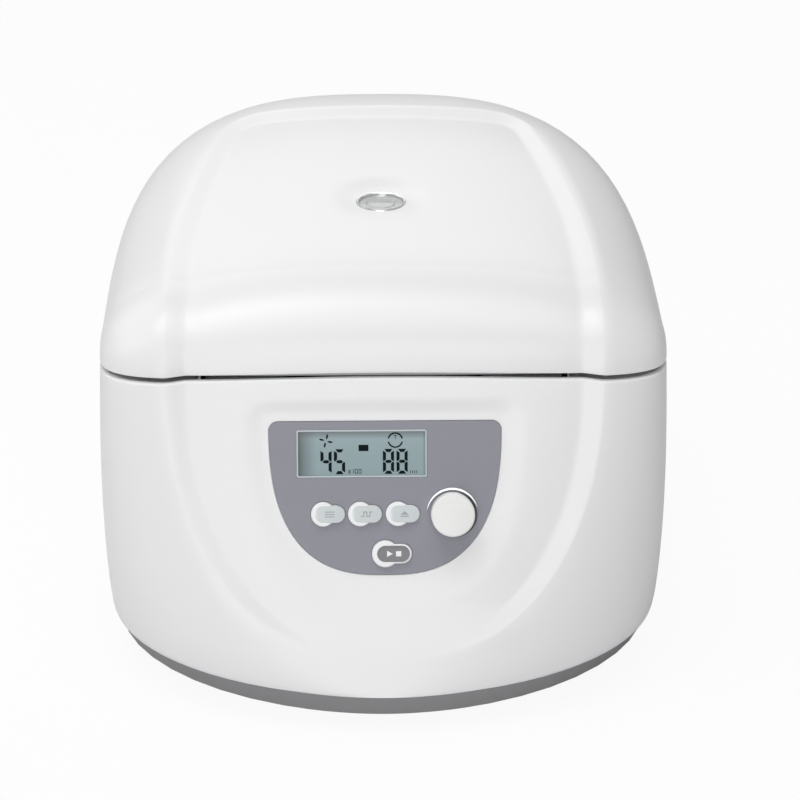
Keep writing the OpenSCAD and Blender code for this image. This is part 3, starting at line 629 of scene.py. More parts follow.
# %% Build the housing
EDGE = 0.9
EDGE_SHARE = 0.03
OUTER_ROWS, INNER_ROWS = 150, 60
outer_rings = [housing_ring(s, 0.0, EDGE * smooth((s - 1 + EDGE_SHARE) / EDGE_SHARE))
               for s in np.linspace(0, 1, OUTER_ROWS)]
rolled = rolled_rings(lambda inset, drop: housing_ring(1.0, inset, drop), EDGE)
inner_rings = [housing_ring(s, WALL) for s in np.linspace(1, 0, INNER_ROWS)]
rings = outer_rings + rolled + inner_rings
housing = object_from("housing_skin", np.concatenate(rings) * MM, stitch(rings, True), white_shell)
print("housing skin:", len(housing.data.polygons), "faces")

# %% [markdown]
# ## Openings of the housing
# A centrifuge blows warm air out through slots: six in each side and nine in the rear. The rear also has
# a hole for the service plate. Dark stripes on the skin would do from afar, but they have no depth when
# seen at an angle. So rows of boxes are cut through the skin, and one box for each level cuts both sides.

# %% Openings of the housing
VENT_LOW, VENT_STEP, VENT_HIGH = 84, 11, 139
side_vents = [((-170, -74, z), (170, 6, z + 4.5))
              for z in range(VENT_LOW, VENT_HIGH + 1, VENT_STEP)]
rear_vents = [((x - 2, 150, 100), (x + 2, 220, 132)) for x in range(-48, 49, 12)]
service_hole = [((-58, 150, 34), (58, 220, 84))]
cut_with(housing, join_blocks("housing_cutter", side_vents + rear_vents + service_hole))
print("housing skin after its vents:", len(housing.data.polygons), "faces")


# %% [markdown]
# ## Seat of the control plate
# The grey plate is let into the housing, with a thin gap round it and a ledge under its edge. A dark line
# could stand for the gap. Two cuts give the real form: one right through, a little smaller than the
# plate, and one shallow and a little larger, in which the plate sits. Both use the panel's own outline.

# %% Outlines
def arc(radius, first, last, count, centre=(0.0, 0.0)):
    """Points along an arc, the angles in degrees."""
    turns = [math.radians(mix(first, last, k / (count - 1))) for k in range(count)]
    return [(centre[0] + radius * math.cos(a), centre[1] + radius * math.sin(a)) for a in turns]


def circle(radius, count=96, centre=(0.0, 0.0)):
    return arc(radius, 0, 360, count + 1, centre)[:-1]


def panel_outline(grow, steps=72):
    """The panel's outline, grown outwards, with its two upper corners rounded."""
    wide, tall = PANEL_HALF + grow, PANEL_TOP - PANEL_BOTTOM + 2 * grow
    corner = PANEL_CORNER + max(0, grow)
    top = PANEL_TOP + grow
    points = []
    for k in range(steps + 1):
        t = math.pi * (k / steps - 0.5)
        x = wide * float(signed_power(math.sin(t), 2 / PANEL_POWER))
        v = top - tall * math.cos(t) ** (2 / PANEL_POWER)
        if v <= top - corner:
            points.append((x, v))
    points += arc(corner, 0, 90, 9, (wide - corner, top - corner))
    points += arc(corner, 90, 180, 9, (-wide + corner, top - corner))
    return points


def prism(name, outline, low, high, place, material):
    """A straight prism over an outline, in the millimetres of the given place."""
    count = len(outline)
    points = [place @ (Vector((x, v, w)) * MM) for w in (low, high) for x, v in outline]
    faces = [(k, (k + 1) % count, count + (k + 1) % count, count + k) for k in range(count)]
    faces += [tuple(range(count - 1, -1, -1)), tuple(range(count, 2 * count))]
    return object_from(name, points, faces, material)


print("outline of the panel:", len(panel_outline(0.0)), "points")

# %% Seat of the control plate
SEAT_LEDGE, SEAT_CLEARANCE, PLATE_THICKNESS = 2.5, 0.3, 2.0
for name, grow, low, high in (
        ("panel_cutter", -SEAT_LEDGE, -20, 20),
        ("seat_cutter", SEAT_CLEARANCE, PLATE_FACE - PLATE_THICKNESS, 12)):
    cut_with(housing, prism(name, panel_outline(grow), low, high, ON_PANEL, white_shell))
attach(housing, "base")
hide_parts("lower_housing")
print("housing skin with its panel seat:", len(housing.data.polygons), "faces")

# %% [markdown]
# ## Lid
# The lid is a domed cover with a soft front bend. A loft from side to side would bunch its rows at the
# rims, so it is made as a fan: sections turn from the front rim over the top to the rear rim about the
# line POLE_Y, and each section is half a superellipse. It rises to the rear, by 0.4 mm less than in the
# construction, so that the skin stays in its box. The recessed loop continues the U of the housing, and
# a soft dimple lies round the sight glass.

# %% Driving sizes of the lid
LID_FRONT_HEIGHT = 48.0
LID_RISE = 29.6
LID_LEAN = 0.16
LID_RECESS_REAR = 126.0
LID_FRONT_POWER = 2.15
LID_REAR_POWER = 4.15
CROWN_POWER = 2.77
SIGHT_Y = -2.0
SIGHT_RADIUS = 14.3
DIMPLE_DEPTH = 2.0
DIMPLE_RADIUS = 31.0
SIGHT_LEVELLING = 0.09
GAP_UP = SEAM_GAP / 2
LOOP_NARROWING = 21.0
LOOP_NARROW_FROM, LOOP_NARROW_TO = -60.0, 111.0
LOOP_NARROW_POWER = 1.9
LOOP_CORNER = 22.0


def fan_power(turn):
    return LID_FRONT_POWER if math.cos(turn) > 0 else LID_REAR_POWER


def fan_reach(turn, inset=0.0):
    reach = -(SEAM_FRONT + POLE_Y - inset) if math.cos(turn) > 0 else SEAM_REAR - POLE_Y - inset
    return reach * abs(math.cos(turn)) ** (2 / fan_power(turn))


def fan_height(turn, inset=0.0, base=GAP_UP):
    rise = LID_RISE * fan_reach(turn, inset) / (SEAM_REAR - POLE_Y - inset)
    return (LID_FRONT_HEIGHT - inset - base + rise) * abs(math.sin(turn)) ** (2 / fan_power(turn))


def cross_power(turn):
    rim = FRONT_POWER[1] if math.cos(turn) > 0 else REAR_POWER
    return mix(rim, CROWN_POWER, math.sin(turn) ** 2)


def loop_half(y):
    """Half the width of the loop, which narrows to the rear."""
    along = np.maximum(0, (y - LOOP_NARROW_FROM) / (LOOP_NARROW_TO - LOOP_NARROW_FROM))
    return RECESS_HALF + RECESS_BAND / 2 - LOOP_NARROWING * along ** LOOP_NARROW_POWER


def loop_depth(x, y, half):
    a = np.abs(x) - half + LOOP_CORNER
    b = y - LID_RECESS_REAR + LOOP_CORNER
    away = np.hypot(np.maximum(a, 0), np.maximum(b, 0)) + np.minimum(np.maximum(a, b), 0)
    return RECESS_DEPTH * band_profile((LOOP_CORNER - away) / RECESS_BAND)


def dimple(x, y):
    """The dimple's floor is flatter than the lid, so that the sight glass looks up."""
    flat = SIGHT_RADIUS + 1
    depth = DIMPLE_DEPTH + SIGHT_LEVELLING * (y - SIGHT_Y)
    away = np.hypot(x, y - SIGHT_Y) - flat
    return depth * (1 - smooth(away / (DIMPLE_RADIUS - flat)))


print("half width of the loop:", round(float(loop_half(LOOP_NARROW_TO)), 1), "mm at the rear")


# %% One section of the lid
DIMPLE_FROM = math.radians(60)


def lid_section(turn, angles, inset=0.0, base=GAP_UP):
    power = cross_power(turn)
    k = np.abs(np.cos(angles)) ** (2 / power)
    x = (HALF_WIDTH - inset) * signed_power(np.sin(angles), 2 / power)
    reach, rise = fan_reach(turn, inset), fan_height(turn, inset, base)
    front = max(0.0, math.cos(turn))
    y = POLE_Y + reach * k + LID_LEAN * rise * k * math.sqrt(front)
    z = seam_height(x) + base + rise * k
    m = 2 - 2 / fan_power(turn)
    ny = abs(math.cos(turn)) ** m * (LID_FRONT_HEIGHT - base)
    nz = abs(math.sin(turn)) ** m * (SEAM_FRONT + POLE_Y)
    long = math.hypot(ny, nz)
    deep = loop_depth(x, y, loop_half(POLE_Y + reach))
    if math.cos(turn) > 0:
        y, z = y + deep * ny / long, z - deep * nz / long
    else:
        z = z - deep
    if turn > DIMPLE_FROM:
        z = z - dimple(x, y)
    return np.stack([x, y, z], 1)


top = lid_section(math.radians(90), np.array([0.0]))[0]
print("middle of the lid above the line POLE_Y:", [round(float(v), 1) for v in top])

# %% Build the lid
LID_COLUMNS = (18, 9, 40)
FRONT_SECTIONS, REAR_SECTIONS = 70, 170
lid_turns = np.radians(np.concatenate([np.linspace(0, 90, FRONT_SECTIONS),
                                       np.linspace(90, 180, REAR_SECTIONS + 1)[1:]]))
sections = []
for turn in lid_turns:
    outer = float(loop_half(POLE_Y + fan_reach(turn)))
    angles = both_sides(column_angles(HALF_WIDTH, cross_power(turn), outer, outer - RECESS_BAND,
                                      *LID_COLUMNS))
    sections.append(lid_section(turn, angles[1:-1]))
columns = len(sections[0])
points = np.concatenate(sections + [
    lid_section(0.0, np.array([math.pi / 2])), lid_section(0.0, np.array([-math.pi / 2]))])
right = len(sections) * columns
faces = []
for i in range(len(sections) - 1):
    a, b = i * columns, (i + 1) * columns
    faces.append((a, right, b))
    faces.append((a + columns - 1, b + columns - 1, right + 1))
    faces += [(a + j, b + j, b + j + 1, a + j + 1) for j in range(columns - 1)]
lid = object_from("lid_skin", points * MM, faces, white_shell)
print("lid skin:", len(lid.data.polygons), "faces")

# %% [markdown]
# ## The lid's wall, rim and sight hole
# The lid is a thin moulding with a round rim and a hole for the sight glass. Its inner wall could be
# lofted like that of the housing, but the sections of a fan are no closed rings. So Solidify gives the
# thickness, a bevel rolls the rim, and a round cut opens the hole, square to the floor of the dimple.

# %% Thickness, rolled rim and sight hole
wall = lid.modifiers.new("wall", "SOLIDIFY")
wall.thickness = WALL * MM
wall.offset = -1
wall.use_even_offset = True
rim = lid.modifiers.new("rim", "BEVEL")
rim.width = EDGE * MM
rim.segments = 3
rim.limit_method = "ANGLE"
rim.angle_limit = math.radians(60)
apply_modifiers(lid)


def lid_turn_at(y):
    return math.pi - math.acos(((y - POLE_Y) / (SEAM_REAR - POLE_Y)) ** (LID_REAR_POWER / 2))


def lid_top(y):
    return SEAM_Z + GAP_UP + fan_height(lid_turn_at(y))


SIGHT_LEAN = math.atan((lid_top(SIGHT_Y + 10) - lid_top(SIGHT_Y - 10)) / 20 - SIGHT_LEVELLING)
SIGHT_Z = lid_top(SIGHT_Y) - RECESS_DEPTH - DIMPLE_DEPTH
ON_SIGHT = (Matrix.Translation(Vector((0, SIGHT_Y, SIGHT_Z)) * MM)
            @ Matrix.Rotation(SIGHT_LEAN, 4, "X"))
print("the sight glass leans by", round(math.degrees(SIGHT_LEAN), 1), "degrees")
cut_with(lid, prism("sight_cutter", circle(SIGHT_RADIUS + 0.1), -20, 20, ON_SIGHT, white_shell))
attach(lid, "lid")
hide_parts("lid_shell")
print("lid skin with its wall and sight hole:", len(lid.data.polygons), "faces")

# %% [markdown]
# ## Controls
# Keys and trim are small raised forms with a round upper edge. A bevel could round them, but it pinches
# on an outline of many short sides. So one builder draws the outline at several sizes and heights, and
# the edge rolls over by itself. The points stay in the panel's own plane, and a shader can use them as
# x and v.

# %% Raised forms
def raised(name, outline, low, high, edge, place, material, steps=4):
    """A form over outline(grow) from low to high, with a rolled upper edge. All in millimetres."""
    levels = [(low, 0.0), (high - edge, 0.0)]
    for k in range(1, steps + 1):
        a = math.pi / 2 * k / steps
        levels.append((high - edge + edge * math.sin(a), -edge * (1 - math.cos(a))))
    rings = [[(x, v, w) for x, v in outline(grow)] for w, grow in levels]
    count = len(rings[0])
    faces = stitch(rings, False)
    faces.append(tuple(range(count - 1, -1, -1)))
    faces.append(tuple(range((len(rings) - 1) * count, len(rings) * count)))
    points = [Vector(p) * MM for ring in rings for p in ring]
    return object_from(name, points, faces, material, place=place)


def flat_shapes(name, outlines, low, high, place, material):
    """Many thin prisms in one mesh, such as the segments of a display."""
    points, faces = [], []
    for outline in outlines:
        start, count = len(points), len(outline)
        points += [Vector((x, v, w)) * MM for w in (low, high) for x, v in outline]
        faces += [tuple(start + k for k in (j, (j + 1) % count, count + (j + 1) % count, count + j))
                  for j in range(count)]
        faces += [tuple(start + k for k in range(count - 1, -1, -1)),
                  tuple(start + count + k for k in range(count))]
    return object_from(name, points, faces, material, place=place)


def rounded_box(low, high, radius, grow=0.0, steps=7):
    """Outline of a rectangle with round corners, grown outwards."""
    radius = radius + grow
    x0, v0, x1, v1 = low[0] - grow, low[1] - grow, high[0] + grow, high[1] + grow
    corners = [(x1 - radius, v1 - radius, 0), (x0 + radius, v1 - radius, 90),
               (x0 + radius, v0 + radius, 180), (x1 - radius, v0 + radius, 270)]
    return [p for x, v, a in corners for p in arc(radius, a, a + 90, steps, (x, v))]


def moved(outline, x, v):
    return [(x + a, v + b) for a, b in outline]


print("form helpers: raised, flat_shapes, rounded_box, moved")


# %% Colour by a mask
def tint_by(material, mask, colour):
    """Shows the colour where the mask group says 0, and the material's own where it says 1."""
    tree = material.node_tree
    effect = tree.nodes.new("ShaderNodeGroup")
    effect.node_tree = mask
    place = next(n for n in tree.nodes if n.bl_idname == "ShaderNodeTexCoord")
    tree.links.new(place.outputs["Object"], effect.inputs["Vector"])
    tone = next(n for n in tree.nodes if n.bl_idname == "ShaderNodeMix")
    blend = tree.nodes.new("ShaderNodeMix")
    blend.data_type = "RGBA"
    blend.inputs["A"].default_value = (*colour, 1)
    tree.links.new(effect.outputs["Mask"], blend.inputs["Factor"])
    tree.links.new(tone.outputs["Result"], blend.inputs["B"])
    tree.links.new(blend.outputs["Result"], tree.nodes["Principled BSDF"].inputs["Base Color"])
    return material


def new_mask(name):
    """An empty mask group, with the x and y of its vector ready to use."""
    group, start, end = new_group(name, [("Vector", "NodeSocketVector", (0, 0, 0))],
                                  [("Mask", "NodeSocketFloat")])
    split = group.nodes.new("ShaderNodeSeparateXYZ")
    group.links.new(start.outputs["Vector"], split.inputs[0])
    return group, split.outputs["X"], split.outputs["Y"], end.inputs["Mask"]


print("mask helpers: tint_by, new_mask")

# %% [markdown]
# ## Display
# The display is a liquid crystal pane that lies behind a thin pale rim, with dark digits and signs. A
# picture of it would be flat and would carry print. Here pane, rim and signs are real forms, and the
# dark edge of the pane, the shadow of the deep frame, is a mask over its colour.

# %% Display
SCREEN_LOW, SCREEN_HIGH = (-47.4, 32.9), (22.4, 58.4)
SCREEN_RIM, SCREEN_CORNER, PANE_CORNER = 0.85, 1.1, 0.6
PANE_FACE = PLATE_FACE - 1.3


def make_pane():
    """Liquid crystal glass: grey green, darker beside the rim that stands over it."""
    group, x, y, mask = new_mask("pane_shade")
    left = add_range(group, x, (SCREEN_LOW[0] + 0.6) * MM, (SCREEN_LOW[0] + 11.0) * MM, 0, 1)
    top = add_range(group, y, (SCREEN_HIGH[1] - 0.4) * MM, (SCREEN_HIGH[1] - 5.0) * MM, 0.3, 1)
    right = add_range(group, x, (SCREEN_HIGH[0] - 0.6) * MM, (SCREEN_HIGH[0] - 2.4) * MM, 0.5, 1)
    softer = add_math(group, "POWER", left, 0.7)
    shade = add_math(group, "MULTIPLY", softer, add_math(group, "MULTIPLY", top, right))
    group.links.new(shade, mask)
    material = plastic("lcd_pane", (0.24, 0.335, 0.36), 0.3, drift=0.06,
                       constants={"Coat Weight": 0.6, "Coat Roughness": 0.06})
    return tint_by(material, group, (0.012, 0.03, 0.034))


screen_rim = raised(
    "screen_rim", lambda grow: rounded_box(SCREEN_LOW, SCREEN_HIGH, SCREEN_CORNER, grow),
    PLATE_FACE - 1.7, PLATE_FACE + 0.1, 0.25, ON_PANEL, lcd_frame)
inner_low = (SCREEN_LOW[0] + SCREEN_RIM, SCREEN_LOW[1] + SCREEN_RIM)
inner_high = (SCREEN_HIGH[0] - SCREEN_RIM, SCREEN_HIGH[1] - SCREEN_RIM)
cut_with(screen_rim, prism("rim_cutter", rounded_box(inner_low, inner_high, PANE_CORNER),
                           PANE_FACE - 0.2, 5, ON_PANEL, lcd_frame))
pane = flat_shapes("screen_pane", [rounded_box(inner_low, inner_high, PANE_CORNER, 0.1)],
                   PANE_FACE - 0.15, PANE_FACE, ON_PANEL, make_pane())
print("display rim:", len(screen_rim.data.polygons), "faces")


# %% [markdown]
# ## Digits and signs
# A liquid crystal shows dark segments with thin gaps between them. A font would be quick, but its strokes
# have no such gaps. Each digit here is made of up to seven outlines, which are three shapes and their
# mirror images. The small signs are bars, arcs and blades. All of them are one mesh, 0.05 mm thick.

# %% Digits and signs of the display
DIGIT_WIDTH, DIGIT_HEIGHT, STROKE, SPLIT = 6.0, 13.4, 1.7, 0.28
DIGIT_LOW = 34.6
LIT = {"4": "bcfg", "5": "acdfg", "8": "abcdefg", "0": "abcdef", "1": "bc"}


def segments(sign, width=DIGIT_WIDTH, height=DIGIT_HEIGHT, stroke=STROKE, split=SPLIT):
    """Outlines of the lit segments of one digit, its lower left corner at the origin."""
    half = height / 2
    chamfer = stroke * 0.35
    top = [(split + chamfer, height), (stroke + split, height - stroke),
           (width - stroke - split, height - stroke), (width - split - chamfer, height)]
    upper = [(0, height - split - chamfer), (0, half + split), (stroke * 0.5, half + split),
             (stroke, half + stroke * 0.5 + split), (stroke, height - stroke - split)]
    bar = [(stroke * 0.5 + split, half), (stroke + split, half + stroke * 0.5),
           (width - stroke - split, half + stroke * 0.5), (width - stroke * 0.5 - split, half),
           (width - stroke - split, half - stroke * 0.5), (stroke + split, half - stroke * 0.5)]
    flip_x = lambda shape: [(width - x, v) for x, v in shape][::-1]
    flip_v = lambda shape: [(x, height - v) for x, v in shape][::-1]
    shapes = {"a": top, "f": upper, "b": flip_x(upper), "g": bar,
              "d": flip_v(top), "e": flip_v(upper), "c": flip_x(flip_v(upper))}
    return [shapes[key] for key in LIT[sign]]


def bar_from(x, v, width, height):
    return [(x, v), (x + width, v), (x + width, v + height), (x, v + height)]


def ring_piece(radius, thick, first, last, centre):
    return arc(radius, first, last, 19, centre) + arc(radius - thick, last, first, 19, centre)


def leaf(angle, centre):
    """One narrow blade of the spin sign, turned a little from its radius."""
    turn = math.radians(angle)
    shape = [(0.7, -0.1), (1.7, -0.55), (2.9, -0.5), (3.9, 0.05), (2.8, 0.5), (1.6, 0.35)]
    return [(centre[0] + x * math.cos(turn) - v * math.sin(turn),
             centre[1] + x * math.sin(turn) + v * math.cos(turn)) for x, v in shape]


DIGITS = (("4", -34.6), ("5", -27.4), ("8", -1.2), ("8", 6.1))
SMALL_DIGITS = (("1", -18.3), ("0", -16.2), ("0", -14.2))
signs = [moved(shape, x, DIGIT_LOW) for sign, x in DIGITS for shape in segments(sign)]
signs += [leaf(angle, (-31.6, 52.5)) for angle in (76, -14, 166, 256)]
signs.append(bar_from(-14.2, 46.9, 5.3, 3.4))
signs += [ring_piece(4.2, 0.8, a, a + 154, (5.5, 52.7)) for a in (13, 193)]
signs += [bar_from(5.35, 53.3, 0.3, 2.1), bar_from(4.8, 55.0, 1.4, 0.3)]
signs += [moved(shape, x, 34.8) for sign, x in SMALL_DIGITS
          for shape in segments(sign, 1.5, 2.6, 0.36, 0.04)]
signs += [[(-19.9, 34.9), (-19.5, 34.9), (-18.3, 36.9), (-18.7, 36.9)],
          [(-18.7, 34.9), (-18.3, 34.9), (-19.5, 36.9), (-19.9, 36.9)]]
signs += [bar_from(x, 34.9, 0.35, 1.4) for x in (13.4, 14.5, 15.6, 16.7)]
digits = flat_shapes("screen_signs", signs, PANE_FACE, PANE_FACE + 0.05, ON_PANEL, lcd_ink)
for piece in (screen_rim, pane, digits):
    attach(piece, "base")
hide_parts("screen_window")
print("display:", len(signs), "signs")

# %% [markdown]
# ## Keys
# Each key is a round button with a lobe to its right. A pale face is laid into its top and fades into
# the white rim at the left: a gradient does this without a seam, where a second piece would show one.
# The marks are plain signs, each a thin form: a list, a pulse, an open sign, start and stop.

# %% Key outlines
KEY_V = 13.3
KEY_ROUND, KEY_BAR, KEY_REACH = 6.65, 4.75, 7.0
START_ROUND, START_BAR, START_REACH = 7.3, 5.3, 9.0
KEY_FOOT, KEY_TOP, KEY_EDGE = PLATE_FACE - 2.6, PLATE_FACE + 1.9, 0.9


def key_outline(radius, bar, reach, centre, grow=0.0):
    """A disc joined to a bar with a round right end."""
    radius, bar = radius + grow, bar + grow
    meet = math.degrees(math.asin(bar / radius))
    disc = arc(radius, meet, 360 - meet, 61)
    return moved(disc + arc(bar, -90, 90, 25, (reach, 0)), *centre)


def pill_outline(radius, reach, centre, grow=0.0):
    radius = radius + grow
    return moved(arc(radius, 90, 270, 33) + arc(radius, -90, 90, 33, (reach, 0)), *centre)


def strip(ax, av, bx, bv, width):
    """A thin bar from one point to another."""
    long = math.hypot(bx - ax, bv - av)
    nx, nv = -(bv - av) / long * width / 2, (bx - ax) / long * width / 2
    return [(ax - nx, av - nv), (bx - nx, bv - nv), (bx + nx, bv + nv), (ax + nx, av + nv)]


print("three keys of", 2 * KEY_ROUND, "mm and one of", 2 * START_ROUND, "mm across the round")


# %% Pale face that fades to the left
def make_key_face(name, centre_x):
    group, x, _, mask = new_mask(name + "_fade")
    fade = add_range(group, x, (centre_x - 5.0) * MM, (centre_x - 2.6) * MM, 0, 1)
    group.links.new(fade, mask)
    return tint_by(plastic(name, (0.60, 0.645, 0.65), 0.35), group, (0.88, 0.88, 0.89))


print("maker of a key's pale face: make_key_face")

# %% Three round keys
MARKS = {
    "select": [strip(-2.6, v, 2.6, v, 0.5) for v in (-1.3, 0, 1.3)],
    "pulse": [strip(-3.2, -1.2, -1.35, -1.2, 0.5), strip(-1.6, -1.45, -1.6, 1.45, 0.5),
              strip(-1.85, 1.2, 0.25, 1.2, 0.5), strip(0, 1.45, 0, -1.45, 0.5),
              strip(-0.25, -1.2, 1.85, -1.2, 0.5), strip(1.6, -1.45, 1.6, 1.45, 0.5),
              strip(1.35, 1.2, 3.2, 1.2, 0.5)],
    "door": [[(-2.2, -0.4), (2.2, -0.4), (0, 1.6)], strip(-2.2, -1.25, 2.2, -1.25, 0.6)],
}
for body, x in (("select", -33.3), ("pulse", -13.5), ("door", 6.7)):
    centre = (x, KEY_V)
    key = raised(body + "_key",
                 lambda grow: key_outline(KEY_ROUND, KEY_BAR, KEY_REACH, centre, grow),
                 KEY_FOOT, KEY_TOP, KEY_EDGE, ON_PANEL, key_white, steps=6)
    face = raised(body + "_face",
                  lambda grow: pill_outline(KEY_BAR - 0.15, KEY_REACH, centre, grow),
                  KEY_TOP - 0.6, KEY_TOP + 0.12, 0.3, ON_PANEL, make_key_face(body + "_pale", x))
    mark = flat_shapes(body + "_mark", [moved(s, x + 3.5, KEY_V) for s in MARKS[body]],
                       KEY_TOP + 0.1, KEY_TOP + 0.15, ON_PANEL, key_mark)
    for piece in (key, face, mark):
        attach(piece, body)
    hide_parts(body + "_button")
print("keys:", list(MARKS))

# %% [markdown]
# ## Start and stop key
# This key is larger, and its grey face lies lower than its white rim. Paint alone would give the colour,
# but no edge that catches the light. So the top is cut out, and a face with two signs lies in the cut.

# %% Start and stop key
START = (-0.2, -8.1)
FACE_ROUND, FACE_REACH = 4.4, 8.8
start_key = raised("start_key",
                   lambda grow: key_outline(START_ROUND, START_BAR, START_REACH, START, grow),
                   KEY_FOOT, KEY_TOP, KEY_EDGE, ON_PANEL, key_white, steps=6)
cut_with(start_key, prism("start_cutter", pill_outline(FACE_ROUND, FACE_REACH, START),
                          KEY_TOP - 0.8, KEY_TOP + 3, ON_PANEL, key_white))
start_face = flat_shapes("start_face", [pill_outline(FACE_ROUND + 0.05, FACE_REACH, START)],
                         KEY_TOP - 1.0, KEY_TOP - 0.55, ON_PANEL, key_grey)
start_marks = [moved([(-1.5, -1.7), (1.6, 0), (-1.5, 1.7)], 2.2, START[1]),
               moved([(-1.4, -1.4), (1.4, -1.4), (1.4, 1.4), (-1.4, 1.4)], 6.9, START[1])]
start_mark = flat_shapes("start_mark", start_marks, KEY_TOP - 0.6, KEY_TOP - 0.5,
                         ON_PANEL, key_white)
for piece in (start_key, start_face, start_mark):
    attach(piece, "start")
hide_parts("start_button")
print("start key:", len(start_key.data.polygons), "faces")

# %% [markdown]
# ## Setting knob
# The knob is a low white drum with a domed top. A dark disc off to its lower right is a painted
# shadow of the knob, and a bright silver arc above it is a painted highlight: the lit edge of the
# ring round the knob, drawn only where the light falls. A Screw modifier could turn its profile. Points
# written out in rings do the same, and leave the number of sides and the closing of the top to the
# maker. The shadow disc and the highlight arc are thin flat forms.

# %% Turning helpers
def turned_points(profile, count):
    """The points of a profile of (radius, height), turned about the axis in count steps."""
    return [Vector((x, y, w)) * MM for r, w in profile for x, y in circle(r, count)]


def lathe(name, profile, place, material, count=128):
    """Turns a profile about the axis of the given place. The last point closes the top."""
    points = turned_points(profile[:-1], count) + [Vector((0, 0, profile[-1][1])) * MM]
    faces = stitch([range(count)] * (len(profile) - 1), False)
    last = (len(profile) - 2) * count
    faces += [(last + k, last + (k + 1) % count, len(points) - 1) for k in range(count)]
    return object_from(name, points, faces, material, 30, place)


def lathe_ring(name, profile, place, material, count=128):
    """Turns a closed profile into a ring."""
    faces = stitch([range(count)] * len(profile), True)
    return object_from(name, turned_points(profile, count), faces, material, 30, place)


print("turning helpers: lathe, lathe_ring")

# %% Setting knob
KNOB_X, KNOB_RADIUS, KNOB_FOOT, KNOB_HEIGHT = 35.8, 11.65, 1.1, 11.0
KNOB_ROLL, KNOB_DOME = 0.9, 0.4
ON_KNOB = ON_PANEL @ Matrix.Translation(Vector((KNOB_X, KEY_V, PLATE_FACE)) * MM)

knob_top = KNOB_FOOT + KNOB_HEIGHT
flat_edge = KNOB_RADIUS - KNOB_ROLL
profile = [(6.0, KNOB_FOOT + 2.0), (6.0, KNOB_FOOT), (KNOB_RADIUS - 0.4, KNOB_FOOT),
           (KNOB_RADIUS, KNOB_FOOT + 0.4)]
profile += arc(KNOB_ROLL, 0, 90, 7, (flat_edge, knob_top - KNOB_DOME - KNOB_ROLL))
profile += [(r, knob_top - KNOB_DOME * (r / flat_edge) ** 2) for r in np.linspace(10.2, 0.6, 14)]
knob = lathe("knob_skin", profile + [(0, knob_top)], ON_KNOB, knob_white)
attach(knob, "knob")
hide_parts("setting_knob")
print("knob:", len(knob.data.polygons), "faces")


# %% Painted highlight arc and painted shadow disc
def crescent(radius, thick, first, last, count=60):
    """An arc that is thickest in its middle and runs out to a point at both ends."""
    inner = [arc(radius - thick * math.sin(math.pi * k / count), last, first, count + 1)[k]
             for k in range(1, count)]
    return arc(radius, first, last, count + 1) + inner


# The dark disc is a painted shadow: it stands off to the lower right, where the knob's shadow falls.
SHADOW_DISC_RADIUS, SHADOW_DISC_CENTRE = 12.1, (1.3, -0.7)
# The bright arc is a painted highlight: only the lit upper edge of the ring round the knob is drawn.
knob_highlight_arc = flat_shapes("knob_highlight_arc", [crescent(13.7, 1.15, 174, 12)], -0.4, 0.5, ON_KNOB, bezel_silver)
knob_shadow_disc = flat_shapes("knob_shadow_disc", [circle(SHADOW_DISC_RADIUS, centre=SHADOW_DISC_CENTRE)], -0.2, 0.12,
                        ON_KNOB, black_plastic)
for piece in (knob_highlight_arc, knob_shadow_disc):
    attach(piece, "base")
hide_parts("knob_ring")
print("crescent and well:", len(knob_highlight_arc.data.polygons) + len(knob_shadow_disc.data.polygons), "faces")

# %% [markdown]
# ## Sight ring and glass
# Through this small window the user sees whether the rotor stands still. It is a clear stepped lens in a
# bright ring. A flat disc would show one even reflection and look like paint. The groove and the low dome
# of the lens break it up. Both pieces are turned like the knob, and sit on the floor of the dimple.

# %% Sight ring and glass
RING_INSIDE, SIGHT_EDGE, SIGHT_FOOT = 12.6, SIGHT_RADIUS + 0.05, -2.4
ring_profile = [(RING_INSIDE, SIGHT_FOOT), (RING_INSIDE, -0.2), (12.75, 0.3), (13.1, 0.6),
                (13.7, 0.65), (14.15, 0.4), (SIGHT_EDGE, 0.0), (SIGHT_EDGE, SIGHT_FOOT)]
sight_ring = lathe_ring("sight_ring", ring_profile, ON_SIGHT, bezel_silver)
GROOVE_EDGE, LENS_TOP = 7.5, -0.3
lens_profile = [(12.55, SIGHT_FOOT), (12.55, -1.0), (12.2, -0.8), (8.6, -0.7), (8.2, -1.1),
                (7.9, -1.1), (GROOVE_EDGE, -0.7)]
lens_profile += [(r, LENS_TOP - 0.4 * (r / GROOVE_EDGE) ** 2) for r in np.linspace(7.0, 1.0, 7)]
sight_lens = lathe("sight_lens", lens_profile + [(0, LENS_TOP)], ON_SIGHT, clear_glass)
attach(sight_ring, "lid")
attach(sight_lens, "lid")
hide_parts("sight_bezel")
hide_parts("sight_glass")
print("sight glass:", len(sight_ring.data.polygons) + len(sight_lens.data.polygons), "faces")

# %% [markdown]
# ## Floor and world
# The machine stands on a white ground, with a soft shadow under it and no horizon. A large white room
# would do, but needs much light. Here the camera sees the floor mostly as glowing white, and a little
# as a pale surface that keeps the shadow. The world is plain white to the camera, partly white in
# mirror reflections, and dim as a light, so that the lamps shape the machine.

# %% Floor
FLOOR_GLOW = 0.93
FLOOR_REACH = 8.0


